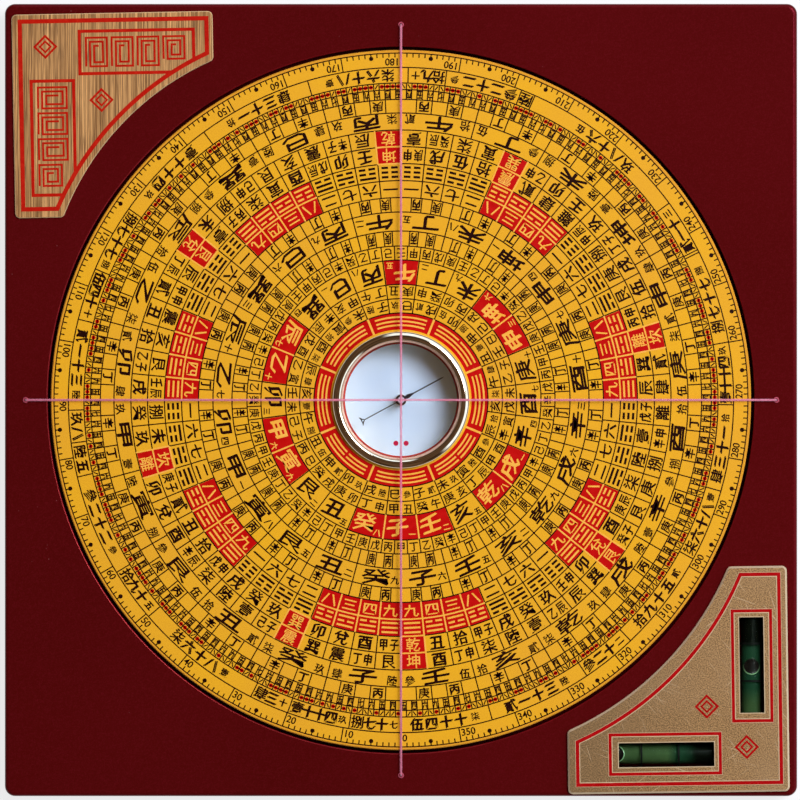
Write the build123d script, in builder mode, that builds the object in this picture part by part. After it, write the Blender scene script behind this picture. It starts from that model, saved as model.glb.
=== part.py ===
from build123d import *
import os
from math import atan2, cos, radians, sin, sqrt

# A feng shui compass: a square board with a round dial that turns in a well, a needle
# capsule in the middle of the dial, two crossed sight lines and two spirit levels.
# Millimetres. The origin is on the underside, below the dial's axis. +Z is up, +Y points
# to the far edge and +X to the right edge. The dial's numbers grow clockwise from -Y.

# Board
board_side = 155.0
board_thickness = 13.0
board_corner_radius = 2.0
board_top_round = 0.8
board_bottom_chamfer = 0.5
well_edge_chamfer = 0.25

# Dial: a moulded disc with a printed plate on it
dial_margin = 9.0
dial_side_gap = 0.6
dial_disc_thickness = 3.7
dial_disc_chamfer = 0.4
dial_face_thickness = 1.0
dial_face_bevel = 0.2
dial_proud = 0.2

# Felt ring that the dial glides on
glide_thickness = 0.5
glide_width = 10.0
glide_margin = 4.5

# Needle capsule: a turned cup whose lower end is the dial's spindle
cup_radius = 12.3
cup_wall = 0.95
cup_mouth_wall = 0.4
cup_floor_thickness = 1.2
cup_foot_chamfer = 0.3
cup_rise = 0.5
spindle_length = 3.0
spindle_end_gap = 0.5
bush_wall = 1.2
bush_flange_width = 2.2
bush_flange_thickness = 0.8
crystal_thickness = 0.9
gasket_thickness = 0.2
bezel_width = 1.95
bezel_height = 1.4
bezel_lip_height = 0.35
card_thickness = 0.3

# Needle on its pivot
needle_bearing_deg = 28.4
needle_head_gap = 1.65
needle_tail_gap = 2.85
needle_thickness = 0.25
needle_drop = 0.6
needle_rod_width = 0.24
needle_tail_width = 0.19
needle_spade_width = 0.84
needle_spade_start = 1.55
needle_spade_end = 2.8
needle_point_length = 0.9
needle_hub_radius = 1.04
needle_horn_span = 1.9
needle_horn_root = 0.34
needle_horn_sweep = 0.45
tail_ring_radius = 0.36
tail_ring_bore_radius = 0.17
cap_radius = 0.76
cap_crown = 0.17
cap_drop = 1.0
cap_edge_chamfer = 0.2
jewel_radius = 0.5
jewel_height = 0.9
jewel_cup_radius = 0.36
jewel_cup_depth = 0.5
pivot_tip_height = 4.1
pivot_tip_gap = 0.03
pivot_pin_radius = 0.28
pivot_cone_height = 0.75
pivot_post_radius = 1.1
pivot_post_height = 1.5
pivot_stub_radius = 0.7
pivot_post_chamfer = 0.2

# Sight lines, each pulled down through two eyelets and crimped in the underside
line_radius = 0.22
line_sides = 8
line_inset = 4.1
line_bezel_gap = 0.1
line_cross_gap = 0.05
line_press = 0.06
line_corner_rise = 0.35
line_corner_radius = 0.6
line_bezel_bend_radius = 6.0
eyelet_line_gap = 0.08
eyelet_wall = 0.14
eyelet_flange_width = 0.12
eyelet_flange_thickness = 0.2
eyelet_flange_chamfer = 0.06
eyelet_length = 3.0
crimp_radius = 1.2
crimp_side_gap = 0.4
crimp_pocket_depth = 2.0
crimp_recess = 0.4
line_end_recess = 0.2

# Upper left corner plate
upper_plate_side_inset = 1.7
upper_plate_far_inset = 1.8
upper_plate_width = 39.3
upper_plate_depth = 39.8
upper_plate_dial_gap = 7.0
upper_plate_arc_bow = 1.25
upper_plate_thickness = 0.5
upper_plate_chamfer = 0.15
upper_plate_turn_deg = 1.1

# Lower right corner plate, with the two level windows
lower_plate_side_inset = 1.8
lower_plate_near_inset = 0.7
lower_plate_width = 43.3
lower_plate_depth = 44.1
lower_plate_dial_gap = 3.6
lower_plate_arc_bow = 0.75
lower_plate_thickness = 0.9
lower_plate_bevel = 0.35
lower_plate_turn_deg = 0.8
plate_corner_radius = 1.0
window_x_side_inset = 24.0
window_x_near_inset = 7.5
window_y_side_inset = 7.1
window_y_near_inset = 24.8
window_length = 18.7
window_width = 4.75

# Spirit levels: sealed tubes in pockets under the windows
level_x_shift = -1.0
level_y_shift = 0.7
level_tube_radius = 2.6
level_tube_wall = 0.5
level_length = 22.6
level_plug_length = 0.8
level_mark_spacing = 7.3
level_mark_width = 0.35
level_mark_height = 0.08
level_pocket_gap = 0.15
bubble_radius_share = 0.7857
bubble_half_height_share = 0.476
bubble_chamfer_share = 0.3
bubble_lift_share = 0.238
bubble_gap = 0.12
channel_round_share = 0.45
bubble_y_offset = -0.8

# Fits
running_clearance = 0.05
press_clearance = 0.02

# Heights, radii and places that follow from the sizes above
board_half = board_side / 2
dial_radius = board_half - dial_margin
dial_top = board_thickness + dial_proud
face_floor = dial_top - dial_face_thickness
disc_floor = face_floor - dial_disc_thickness
glide_top = disc_floor - running_clearance
well_floor = glide_top - glide_thickness
well_radius = dial_radius + dial_side_gap
cup_bore_radius = cup_radius - cup_wall
cup_rebate_radius = cup_radius - cup_mouth_wall
bush_bore_radius = cup_radius + running_clearance
bush_radius = bush_bore_radius + bush_wall
cup_bottom = well_floor - spindle_length
spindle_pocket_floor = cup_bottom - spindle_end_gap
cup_floor = cup_bottom + cup_floor_thickness
cup_top = dial_top + cup_rise
crystal_floor = cup_top - crystal_thickness
gasket_floor = crystal_floor - gasket_thickness
card_top = cup_floor + card_thickness
bezel_inner_radius = cup_bore_radius + press_clearance
bezel_crest_radius = bezel_inner_radius + bezel_width / 2
bezel_outer_radius = bezel_inner_radius + bezel_width
bezel_top = dial_top + bezel_height
needle_head_reach = cup_bore_radius - needle_head_gap
needle_tail_reach = cup_bore_radius - needle_tail_gap
pivot_tip = card_top + pivot_tip_height
needle_floor = pivot_tip - needle_drop
cap_floor = pivot_tip - cap_drop
jewel_floor = pivot_tip + pivot_tip_gap - jewel_cup_depth
jewel_top = jewel_floor + jewel_height
line_reach = board_half - line_inset
line_height = bezel_top + line_bezel_gap + line_radius
line_pressed_height = line_height - line_press
line_cross_height = line_pressed_height + line_radius + line_cross_gap + line_radius
eyelet_bore_radius = line_radius + eyelet_line_gap
eyelet_tube_radius = eyelet_bore_radius + eyelet_wall
eyelet_top = board_thickness + eyelet_flange_thickness
line_corner_height = eyelet_top + line_corner_rise
line_end_height = crimp_recess + line_end_recess
upper_plate_left = upper_plate_side_inset - board_half
upper_plate_right = upper_plate_left + upper_plate_width
upper_plate_top = board_half - upper_plate_far_inset
upper_plate_bottom = upper_plate_top - upper_plate_depth
upper_plate_arc_radius = dial_radius + upper_plate_dial_gap
lower_plate_right = board_half - lower_plate_side_inset
lower_plate_left = lower_plate_right - lower_plate_width
lower_plate_bottom = lower_plate_near_inset - board_half
lower_plate_top = lower_plate_bottom + lower_plate_depth
lower_plate_arc_radius = dial_radius + lower_plate_dial_gap
window_x_centre = (lower_plate_right - window_x_side_inset, lower_plate_bottom + window_x_near_inset)
window_y_centre = (lower_plate_right - window_y_side_inset, lower_plate_bottom + window_y_near_inset)
level_x_centre = (window_x_centre[0] + level_x_shift, window_x_centre[1])
level_y_centre = (window_y_centre[0], window_y_centre[1] + level_y_shift)
level_axis_height = board_thickness - press_clearance - level_mark_height - level_tube_radius
level_pocket_floor = level_axis_height - level_tube_radius - level_mark_height - press_clearance
level_pocket_length = level_length + level_pocket_gap + level_pocket_gap
level_pocket_width = 2 * (level_tube_radius + level_mark_height + level_pocket_gap)
level_bore_radius = level_tube_radius - level_tube_wall
bubble_radius = level_bore_radius * bubble_radius_share
bubble_half_height = level_bore_radius * bubble_half_height_share
bubble_chamfer = level_bore_radius * bubble_chamfer_share
bubble_lift = level_bore_radius * bubble_lift_share
channel_round = level_bore_radius * channel_round_share
bubble_travel = level_length / 2 - level_plug_length - bubble_radius - bubble_gap - bubble_gap


def turned_plane(centre_x, centre_y, turn_deg, height):
    """The plane at a height that is turned about the vertical through a centre point."""
    turn = radians(turn_deg)
    shift_x = centre_x - centre_x * cos(turn) + centre_y * sin(turn)
    shift_y = centre_y - centre_x * sin(turn) - centre_y * cos(turn)
    return Plane(
        origin=(shift_x, shift_y, height), x_dir=(cos(turn), sin(turn), 0), z_dir=(0, 0, 1)
    )


def arc_middle(start, end, radius):
    """The point half way along an arc about the dial's axis."""
    middle = (atan2(start[1], start[0]) % radians(360) + atan2(end[1], end[0]) % radians(360)) / 2
    return (radius * cos(middle), radius * sin(middle))


os.makedirs("parts", exist_ok=True)

# Board: square, with the dial's well, the spindle's pocket, two level pockets and the
# four holes that the sight lines go down
with BuildPart() as base_board:
    with BuildSketch():
        RectangleRounded(board_side, board_side, board_corner_radius)
    extrude(amount=board_thickness)
    fillet(base_board.faces().sort_by(Axis.Z)[-1].edges(), board_top_round)
    chamfer(base_board.faces().sort_by(Axis.Z)[0].edges(), board_bottom_chamfer)
    with BuildSketch(Plane.XY.offset(well_floor)):
        Circle(well_radius)
    extrude(amount=board_thickness - well_floor, mode=Mode.SUBTRACT)
    well_edge = base_board.faces().sort_by(Axis.Z)[-1].edges().sort_by(SortBy.LENGTH)[-1]
    chamfer(well_edge, well_edge_chamfer)
    with BuildSketch(Plane.XY.offset(spindle_pocket_floor)):
        Circle(bush_radius + press_clearance)
    extrude(amount=well_floor - spindle_pocket_floor, mode=Mode.SUBTRACT)
    with BuildSketch(Plane.XY.offset(well_floor - bush_flange_thickness)):
        Circle(bush_radius + bush_flange_width + press_clearance)
    extrude(amount=bush_flange_thickness, mode=Mode.SUBTRACT)
    with BuildSketch(Plane.XY.offset(level_pocket_floor)):
        with Locations(level_x_centre):
            Rectangle(level_pocket_length, level_pocket_width)
        with Locations(level_y_centre):
            Rectangle(level_pocket_width, level_pocket_length)
    extrude(amount=board_thickness - level_pocket_floor, mode=Mode.SUBTRACT)
    with BuildSketch():
        with PolarLocations(line_reach, 4):
            Circle(eyelet_tube_radius + press_clearance)
    extrude(amount=board_thickness, mode=Mode.SUBTRACT)
    with BuildSketch():
        with PolarLocations(line_reach, 4):
            Circle(crimp_radius + crimp_side_gap)
    extrude(amount=crimp_pocket_depth, mode=Mode.SUBTRACT)
base_board.part.label = "base_board"
export_step(base_board.part, "parts/base_board.step")

# Flanged bush that the capsule's lower end turns in
with BuildPart() as spindle_bush:
    with BuildSketch(Plane.XY.offset(spindle_pocket_floor)):
        Circle(bush_radius)
    extrude(amount=well_floor - spindle_pocket_floor)
    with BuildSketch(Plane.XY.offset(well_floor - bush_flange_thickness)):
        Circle(bush_radius + bush_flange_width)
    extrude(amount=bush_flange_thickness)
    with BuildSketch(Plane.XY.offset(spindle_pocket_floor)):
        Circle(bush_bore_radius)
    extrude(amount=well_floor - spindle_pocket_floor, mode=Mode.SUBTRACT)
    bush_mouth = spindle_bush.faces().sort_by(Axis.Z)[-1].edges().sort_by(SortBy.LENGTH)[0]
    chamfer(bush_mouth, well_edge_chamfer)
spindle_bush.part.label = "spindle_bush"
export_step(spindle_bush.part, "parts/spindle_bush.step")

# Felt ring glued to the well's floor, under the rim of the dial
with BuildPart() as glide_ring:
    with BuildSketch(Plane.XY.offset(well_floor)):
        Circle(dial_radius - glide_margin)
        Circle(dial_radius - glide_margin - glide_width, mode=Mode.SUBTRACT)
    extrude(amount=glide_thickness)
glide_ring.part.label = "glide_ring"
export_step(glide_ring.part, "parts/glide_ring.step")

# Dial disc, bored through for the capsule
with BuildPart() as dial_disc:
    with BuildSketch(Plane.XY.offset(disc_floor)):
        Circle(dial_radius)
        Circle(cup_radius + press_clearance, mode=Mode.SUBTRACT)
    extrude(amount=dial_disc_thickness)
    chamfer(dial_disc.faces().sort_by(Axis.Z)[0].edges(), dial_disc_chamfer)
dial_disc.part.label = "dial_disc"
export_step(dial_disc.part, "parts/dial_disc.step")

# Printed dial plate with its bevelled gilt rim
with BuildPart() as dial_face:
    with BuildSketch(Plane.XY.offset(face_floor)):
        Circle(dial_radius)
        Circle(cup_radius + press_clearance, mode=Mode.SUBTRACT)
    extrude(amount=dial_face_thickness)
    rim_edge = dial_face.faces().sort_by(Axis.Z)[-1].edges().sort_by(SortBy.LENGTH)[-1]
    chamfer(rim_edge, dial_face_bevel)
dial_face.part.label = "dial_face"
export_step(dial_face.part, "parts/dial_face.step")

# Capsule cup: the spindle below, the well of the needle inside, a rebate for the crystal
with BuildPart() as capsule_cup:
    with BuildSketch(Plane.XZ):
        with BuildLine():
            Polyline(
                (pivot_stub_radius, cup_bottom),
                (cup_radius - cup_foot_chamfer, cup_bottom),
                (cup_radius, cup_bottom + cup_foot_chamfer),
                (cup_radius, cup_top),
                (cup_rebate_radius, cup_top),
                (cup_rebate_radius, gasket_floor),
                (cup_bore_radius, gasket_floor),
                (cup_bore_radius, cup_floor),
                (pivot_stub_radius, cup_floor),
                close=True,
            )
        make_face()
    revolve(axis=Axis.Z)
capsule_cup.part.label = "capsule_cup"
export_step(capsule_cup.part, "parts/capsule_cup.step")

# White card on the cup's floor
with BuildPart() as compass_card:
    with BuildSketch(Plane.XY.offset(cup_floor)):
        Circle(cup_bore_radius - press_clearance)
        Circle(pivot_stub_radius + press_clearance, mode=Mode.SUBTRACT)
    extrude(amount=card_thickness)
compass_card.part.label = "compass_card"
export_step(compass_card.part, "parts/compass_card.step")

# Post riveted through the cup's floor, with its shoulder on the card
with BuildPart() as pivot_post:
    with BuildSketch(Plane.XY.offset(cup_bottom)):
        Circle(pivot_stub_radius)
    extrude(amount=card_top - cup_bottom)
    with BuildSketch(Plane.XY.offset(card_top)):
        Circle(pivot_post_radius)
    extrude(amount=pivot_post_height)
    chamfer(pivot_post.faces().sort_by(Axis.Z)[-1].edges(), pivot_post_chamfer)
    with BuildSketch(Plane.XY.offset(card_top)):
        Circle(pivot_pin_radius + press_clearance)
    extrude(amount=pivot_post_height, mode=Mode.SUBTRACT)
pivot_post.part.label = "pivot_post"
export_step(pivot_post.part, "parts/pivot_post.step")

# Hard steel pin with a ground point
with BuildPart() as pivot_pin:
    with BuildSketch(Plane.XZ):
        with BuildLine():
            Polyline(
                (0, card_top),
                (pivot_pin_radius, card_top),
                (pivot_pin_radius, pivot_tip - pivot_cone_height),
                (0, pivot_tip),
                close=True,
            )
        make_face()
    revolve(axis=Axis.Z)
pivot_pin.part.label = "pivot_pin"
export_step(pivot_pin.part, "parts/pivot_pin.step")

# Needle, drawn pointing along its own X: spade and rod to the head, a ring with two
# horns at the tail
needle_turn = radians(needle_bearing_deg)
needle_plane = Plane(
    origin=(0, 0, needle_floor), x_dir=(cos(needle_turn), sin(needle_turn), 0), z_dir=(0, 0, 1)
)
with BuildPart() as needle_blade:
    with BuildSketch(needle_plane):
        with BuildLine():
            Polyline(
                (cap_radius, 0),
                (cap_radius, needle_rod_width),
                (needle_spade_start, needle_spade_width / 2),
                (needle_spade_end, needle_rod_width / 2),
                (needle_head_reach - needle_point_length, needle_rod_width / 2),
                (needle_head_reach, 0),
            )
            mirror(about=Plane.XZ)
        make_face()
        Circle(needle_hub_radius)
        with Locations((-needle_tail_reach / 2, 0)):
            Rectangle(needle_tail_reach - tail_ring_radius, needle_tail_width)
        with BuildLine():
            Spline(
                (-needle_tail_reach + needle_horn_root / 2, 0),
                (-needle_tail_reach, needle_horn_span / 4),
                (-needle_tail_reach - needle_horn_sweep, needle_horn_span / 2),
            )
            Spline(
                (-needle_tail_reach - needle_horn_sweep, needle_horn_span / 2),
                (-needle_tail_reach - needle_horn_root, needle_horn_span / 4),
                (-needle_tail_reach - needle_horn_root / 2, 0),
            )
            mirror(about=Plane.XZ)
        make_face()
        with Locations((-needle_tail_reach, 0)):
            Circle(tail_ring_radius)
            Circle(tail_ring_bore_radius, mode=Mode.SUBTRACT)
        Circle(cap_radius + press_clearance, mode=Mode.SUBTRACT)
    extrude(amount=needle_thickness)
needle_blade.part.label = "needle_blade"
export_step(needle_blade.part, "parts/needle_blade.step")

# Cap staked in the needle's hub, bored from below for the jewel
with BuildPart() as needle_cap:
    with BuildSketch(Plane.XY.offset(cap_floor)):
        Circle(cap_radius)
    extrude(amount=jewel_top + cap_crown - cap_floor)
    chamfer(needle_cap.faces().sort_by(Axis.Z)[-1].edges(), cap_edge_chamfer)
    with BuildSketch(Plane.XY.offset(cap_floor)):
        Circle(jewel_radius + press_clearance)
    extrude(amount=jewel_top - cap_floor, mode=Mode.SUBTRACT)
needle_cap.part.label = "needle_cap"
export_step(needle_cap.part, "parts/needle_cap.step")

# Jewel with the conical cup that rides on the pin's point
with BuildPart() as needle_jewel:
    with BuildSketch(Plane.XZ):
        with BuildLine():
            Polyline(
                (jewel_cup_radius, jewel_floor),
                (jewel_radius, jewel_floor),
                (jewel_radius, jewel_top),
                (0, jewel_top),
                (0, jewel_floor + jewel_cup_depth),
                close=True,
            )
        make_face()
    revolve(axis=Axis.Z)
needle_jewel.part.label = "needle_jewel"
export_step(needle_jewel.part, "parts/needle_jewel.step")

# Sealing ring under the crystal
with BuildPart() as crystal_gasket:
    with BuildSketch(Plane.XY.offset(gasket_floor)):
        Circle(cup_rebate_radius - press_clearance)
        Circle(cup_bore_radius + press_clearance, mode=Mode.SUBTRACT)
    extrude(amount=gasket_thickness)
crystal_gasket.part.label = "crystal_gasket"
export_step(crystal_gasket.part, "parts/crystal_gasket.step")

# Crystal over the needle
with BuildPart() as crystal:
    with BuildSketch(Plane.XY.offset(crystal_floor)):
        Circle(cup_rebate_radius - press_clearance)
    extrude(amount=crystal_thickness)
crystal.part.label = "crystal"
export_step(crystal.part, "parts/crystal.step")

# Polished bezel: a bead that grips the cup's mouth and holds the crystal down
with BuildPart() as bezel_ring:
    with BuildSketch(Plane.XZ):
        with BuildLine():
            ThreePointArc(
                (bezel_outer_radius, dial_top),
                (bezel_crest_radius + bezel_width * sqrt(1 / 8), dial_top + bezel_height * sqrt(1 / 2)),
                (bezel_crest_radius, bezel_top),
            )
            Polyline(
                (bezel_crest_radius, bezel_top),
                (bezel_inner_radius, cup_top + bezel_lip_height),
                (bezel_inner_radius, cup_top),
                (cup_radius + press_clearance, cup_top),
                (cup_radius + press_clearance, dial_top),
                (bezel_outer_radius, dial_top),
            )
        make_face()
    revolve(axis=Axis.Z)
bezel_ring.part.label = "bezel_ring"
export_step(bezel_ring.part, "parts/bezel_ring.step")

# Eyelets in the board's top, one at each end of both sight lines
with BuildPart() as line_eyelets:
    with BuildSketch(Plane.XY.offset(board_thickness)):
        with PolarLocations(line_reach, 4):
            Circle(eyelet_tube_radius + eyelet_flange_width)
    extrude(amount=eyelet_flange_thickness)
    chamfer(line_eyelets.faces().group_by(Axis.Z)[-1].edges(), eyelet_flange_chamfer)
    with BuildSketch(Plane.XY.offset(board_thickness - eyelet_length)):
        with PolarLocations(line_reach, 4):
            Circle(eyelet_tube_radius)
    extrude(amount=eyelet_length)
    with BuildSketch(Plane.XY.offset(board_thickness - eyelet_length)):
        with PolarLocations(line_reach, 4):
            Circle(eyelet_bore_radius)
    extrude(amount=eyelet_length + eyelet_flange_thickness, mode=Mode.SUBTRACT)
line_eyelets.part.label = "line_eyelets"
export_step(line_eyelets.part, "parts/line_eyelets.step")

# Crimps that hold the sight lines' ends in pockets in the underside
with BuildPart() as line_crimps:
    with BuildSketch(Plane.XY.offset(crimp_recess)):
        with PolarLocations(line_reach, 4):
            Circle(crimp_radius)
            Circle(line_radius + press_clearance, mode=Mode.SUBTRACT)
    extrude(amount=crimp_pocket_depth - crimp_recess)
line_crimps.part.label = "line_crimps"
export_step(line_crimps.part, "parts/line_crimps.step")

# Sight lines: up through one eyelet, over the bezel and down the other. The line along Y
# crosses over the line along X and presses it down a little.
for line_name, line_plane, middle_height in (
    ("sight_line_x", Plane.XZ, line_pressed_height),
    ("sight_line_y", Plane.YZ, line_cross_height),
):
    with BuildPart() as sight_line:
        with BuildLine(line_plane) as route:
            FilletPolyline(
                (line_reach, line_end_height),
                (line_reach, line_corner_height),
                (bezel_crest_radius, line_height),
                (0, middle_height),
                (-bezel_crest_radius, line_height),
                (-line_reach, line_corner_height),
                (-line_reach, line_end_height),
                radius=[
                    line_corner_radius,
                    line_bezel_bend_radius,
                    line_bezel_bend_radius,
                    line_bezel_bend_radius,
                    line_corner_radius,
                ],
            )
        with BuildSketch(Plane(origin=route.line @ 0, z_dir=route.line % 0)):
            RegularPolygon(line_radius, line_sides)
        sweep(path=route.line)
    sight_line.part.label = line_name
    export_step(sight_line.part, f"parts/{line_name}.step")

# Upper left corner plate: two straight edges along the board's corner and a hollow arc
# round the dial, whose middle bows a little further out than its ends
upper_arc_start = (upper_plate_right, sqrt(upper_plate_arc_radius**2 - upper_plate_right**2))
upper_arc_end = (-sqrt(upper_plate_arc_radius**2 - upper_plate_bottom**2), upper_plate_bottom)
upper_plate_plane = turned_plane(
    (upper_plate_left + upper_plate_right) / 2,
    (upper_plate_top + upper_plate_bottom) / 2,
    upper_plate_turn_deg,
    board_thickness,
)
with BuildPart() as upper_corner_plate:
    with BuildSketch(upper_plate_plane) as upper_outline:
        with BuildLine():
            ThreePointArc(
                upper_arc_start,
                arc_middle(upper_arc_start, upper_arc_end, upper_plate_arc_radius + upper_plate_arc_bow),
                upper_arc_end,
            )
            Polyline(
                upper_arc_end,
                (upper_plate_left, upper_plate_bottom),
                (upper_plate_left, upper_plate_top),
                (upper_plate_right, upper_plate_top),
                upper_arc_start,
            )
        make_face()
        fillet(upper_outline.vertices(), plate_corner_radius)
    extrude(amount=upper_plate_thickness)
    chamfer(upper_corner_plate.faces().sort_by(Axis.Z)[-1].edges(), upper_plate_chamfer)
upper_corner_plate.part.label = "upper_corner_plate"
export_step(upper_corner_plate.part, "parts/upper_corner_plate.step")

# Lower right corner plate: the same form mirrored across the board, with a window over
# each level
lower_arc_start = (lower_plate_left, -sqrt(lower_plate_arc_radius**2 - lower_plate_left**2))
lower_arc_end = (sqrt(lower_plate_arc_radius**2 - lower_plate_top**2), lower_plate_top)
lower_plate_plane = turned_plane(
    (lower_plate_left + lower_plate_right) / 2,
    (lower_plate_top + lower_plate_bottom) / 2,
    lower_plate_turn_deg,
    board_thickness,
)
with BuildPart() as lower_corner_plate:
    with BuildSketch(lower_plate_plane) as lower_outline:
        with BuildLine():
            ThreePointArc(
                lower_arc_start,
                arc_middle(lower_arc_start, lower_arc_end, lower_plate_arc_radius + lower_plate_arc_bow),
                lower_arc_end,
            )
            Polyline(
                lower_arc_end,
                (lower_plate_right, lower_plate_top),
                (lower_plate_right, lower_plate_bottom),
                (lower_plate_left, lower_plate_bottom),
                lower_arc_start,
            )
        make_face()
        fillet(lower_outline.vertices(), plate_corner_radius)
    extrude(amount=lower_plate_thickness)
    chamfer(lower_corner_plate.faces().sort_by(Axis.Z)[-1].edges(), lower_plate_bevel)
    with BuildSketch(lower_plate_plane):
        with Locations(window_x_centre):
            Rectangle(window_length, window_width)
        with Locations(window_y_centre):
            Rectangle(window_width, window_length)
    extrude(amount=lower_plate_thickness, mode=Mode.SUBTRACT)
lower_corner_plate.part.label = "lower_corner_plate"
export_step(lower_corner_plate.part, "parts/lower_corner_plate.step")

# Spirit levels: each a tube with a plug in both ends, two reading marks round it, liquid
# with a channel along its top, and the bubble in the channel. The bubble along X lies at
# the tube's left end, as it does when the board isn't level.
for level_name, level_centre, level_axis, level_side, bubble_offset in (
    ("level_x", level_x_centre, (1, 0, 0), (0, 1, 0), -bubble_travel),
    ("level_y", level_y_centre, (0, 1, 0), (-1, 0, 0), bubble_y_offset),
):
    middle = Vector(level_centre[0], level_centre[1], level_axis_height)
    level_plane = Plane(origin=middle, x_dir=level_side, z_dir=level_axis)
    with BuildPart() as level_tube:
        with BuildSketch(level_plane):
            Circle(level_tube_radius)
            Circle(level_bore_radius, mode=Mode.SUBTRACT)
        extrude(amount=level_length / 2, both=True)
    level_tube.part.label = f"{level_name}_tube"
    export_step(level_tube.part, f"parts/{level_name}_tube.step")

    with BuildPart() as level_plugs:
        for plug_plane in (
            level_plane.offset(level_length / 2 - level_plug_length),
            level_plane.offset(-level_length / 2),
        ):
            with BuildSketch(plug_plane):
                Circle(level_bore_radius - press_clearance)
            extrude(amount=level_plug_length)
    level_plugs.part.label = f"{level_name}_plugs"
    export_step(level_plugs.part, f"parts/{level_name}_plugs.step")

    with BuildPart() as level_marks:
        for mark_plane in (
            level_plane.offset(level_mark_spacing / 2),
            level_plane.offset(-level_mark_spacing / 2),
        ):
            with BuildSketch(mark_plane):
                Circle(level_tube_radius + level_mark_height)
                Circle(level_tube_radius + press_clearance, mode=Mode.SUBTRACT)
            extrude(amount=level_mark_width / 2, both=True)
    level_marks.part.label = f"{level_name}_marks"
    export_step(level_marks.part, f"parts/{level_name}_marks.step")

    with BuildPart() as level_liquid:
        with BuildSketch(level_plane):
            Circle(level_bore_radius - press_clearance)
        extrude(amount=level_length / 2 - level_plug_length - press_clearance, both=True)
        with BuildSketch(level_plane):
            with Locations((0, bubble_lift)):
                RectangleRounded(
                    2 * (bubble_radius + bubble_gap),
                    2 * (bubble_half_height + bubble_gap),
                    channel_round,
                )
        extrude(amount=bubble_travel + bubble_radius + bubble_gap, both=True, mode=Mode.SUBTRACT)
    level_liquid.part.label = f"{level_name}_liquid"
    export_step(level_liquid.part, f"parts/{level_name}_liquid.step")

    bubble_middle = middle + Vector(level_axis) * bubble_offset + Vector(0, 0, bubble_lift)
    with BuildPart() as level_bubble:
        with BuildSketch(Plane(origin=bubble_middle, z_dir=(0, 0, 1))):
            Circle(bubble_radius)
        extrude(amount=bubble_half_height, both=True)
        chamfer(level_bubble.edges().filter_by(GeomType.CIRCLE), bubble_chamfer)
    level_bubble.part.label = f"{level_name}_bubble"
    export_step(level_bubble.part, f"parts/{level_name}_bubble.step")
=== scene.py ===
import random
from math import asin, ceil, cos, degrees, log, pi, radians, sin, sqrt, tau

import bmesh
import bpy
from mathutils import Matrix, Vector


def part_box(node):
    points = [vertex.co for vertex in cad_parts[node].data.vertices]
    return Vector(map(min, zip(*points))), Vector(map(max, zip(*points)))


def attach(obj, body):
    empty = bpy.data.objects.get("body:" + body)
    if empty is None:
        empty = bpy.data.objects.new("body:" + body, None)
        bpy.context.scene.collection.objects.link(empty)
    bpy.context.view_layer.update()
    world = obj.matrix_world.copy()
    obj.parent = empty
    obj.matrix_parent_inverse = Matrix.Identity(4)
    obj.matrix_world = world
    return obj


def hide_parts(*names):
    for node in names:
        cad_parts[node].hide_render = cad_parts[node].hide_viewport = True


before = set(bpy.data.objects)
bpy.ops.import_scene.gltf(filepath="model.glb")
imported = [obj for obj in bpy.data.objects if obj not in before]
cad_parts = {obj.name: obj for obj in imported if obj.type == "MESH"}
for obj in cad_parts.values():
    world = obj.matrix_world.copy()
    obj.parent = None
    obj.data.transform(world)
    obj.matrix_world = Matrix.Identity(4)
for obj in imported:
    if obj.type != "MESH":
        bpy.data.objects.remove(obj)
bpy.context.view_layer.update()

# Looks of a feng shui compass. The meshes are drawn in millimetres and scaled to metres when
# they are finished. A bearing is in degrees, 0 at the near edge (-Y), growing clockwise as
# seen from above, and the top of a sign on the dial points to the middle.

MM = 0.001
random.seed(28)

# Heights and sizes that the frame gives, in millimetres
FACE_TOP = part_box("dial_face")[1].z / MM
CARD_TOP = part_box("compass_card")[1].z / MM
BEZEL_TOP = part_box("bezel_ring")[1].z / MM
BEZEL_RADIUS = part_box("bezel_ring")[1].x / MM
BOARD_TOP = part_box("base_board")[1].z / MM
CUP_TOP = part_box("capsule_cup")[1].z / MM
EYELET_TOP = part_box("line_eyelets")[1].z / MM

# Print: how far each layer stands over its face, and how far it goes into it. Lines that
# cross stand a hair apart in height, and signs over both.
PRINT_SINK = 0.01
RED_RISE = 0.012
BLACK_RISE = 0.020
YELLOW_RISE = 0.030
HOOP_DROP = 0.004
SPOKE_DROP = 0.002
LINE_WIDTH = 0.23
RED_MARGIN = 0.15

# Outer radius of each ring of the dial, from the trigrams outwards, and of the yellow enamel
TRIGRAM_START = 13.79
TRIGRAM_END = 17.02
STAR_END = 19.83
OFFICE_END = 22.61
MOUNTAIN_END = 27.38
DRAGON_END = 30.12
INNER_STEM_END = 33.05
HUMAN_END = 36.77
MIDDLE_STEM_END = 39.59
NUMERAL_END = 42.91
FIGURE_END = 46.24
UPPER_NAME_END = 49.56
LOWER_NAME_END = 52.81
HEAVEN_END = 56.13
OUTER_STEM_END = 58.79
DEGREE_SIGN_END = 60.71
DOT_END = 62.0
LODGE_END = 65.05
NUMBER_END = 67.85
DIAL_EDGE = 68.4

# Signs of the compass's scale, listed clockwise from the near edge
MOUNTAINS = "子癸丑艮寅甲卯乙辰巽巳丙午丁未坤申庚酉辛戌乾亥壬"
RED_MOUNTAINS = "子癸壬乾戌坤申午辰乙甲寅"
STEMS = "甲乙丙丁戊己庚辛壬癸"
BRANCHES = "子丑寅卯辰巳午未申酉戌亥"
NUMERALS = "一二三四五六七八九十"
FORMAL_NUMERALS = "壹貳參肆伍陸柒捌玖拾"
FIGURE_NUMERALS = "九四三八二七六一"
DEGREE_NUMERALS = "四五六七四五九六四五"
STEM_PAIRS = (("丙", "庚"), ("丁", "辛"))

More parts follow.
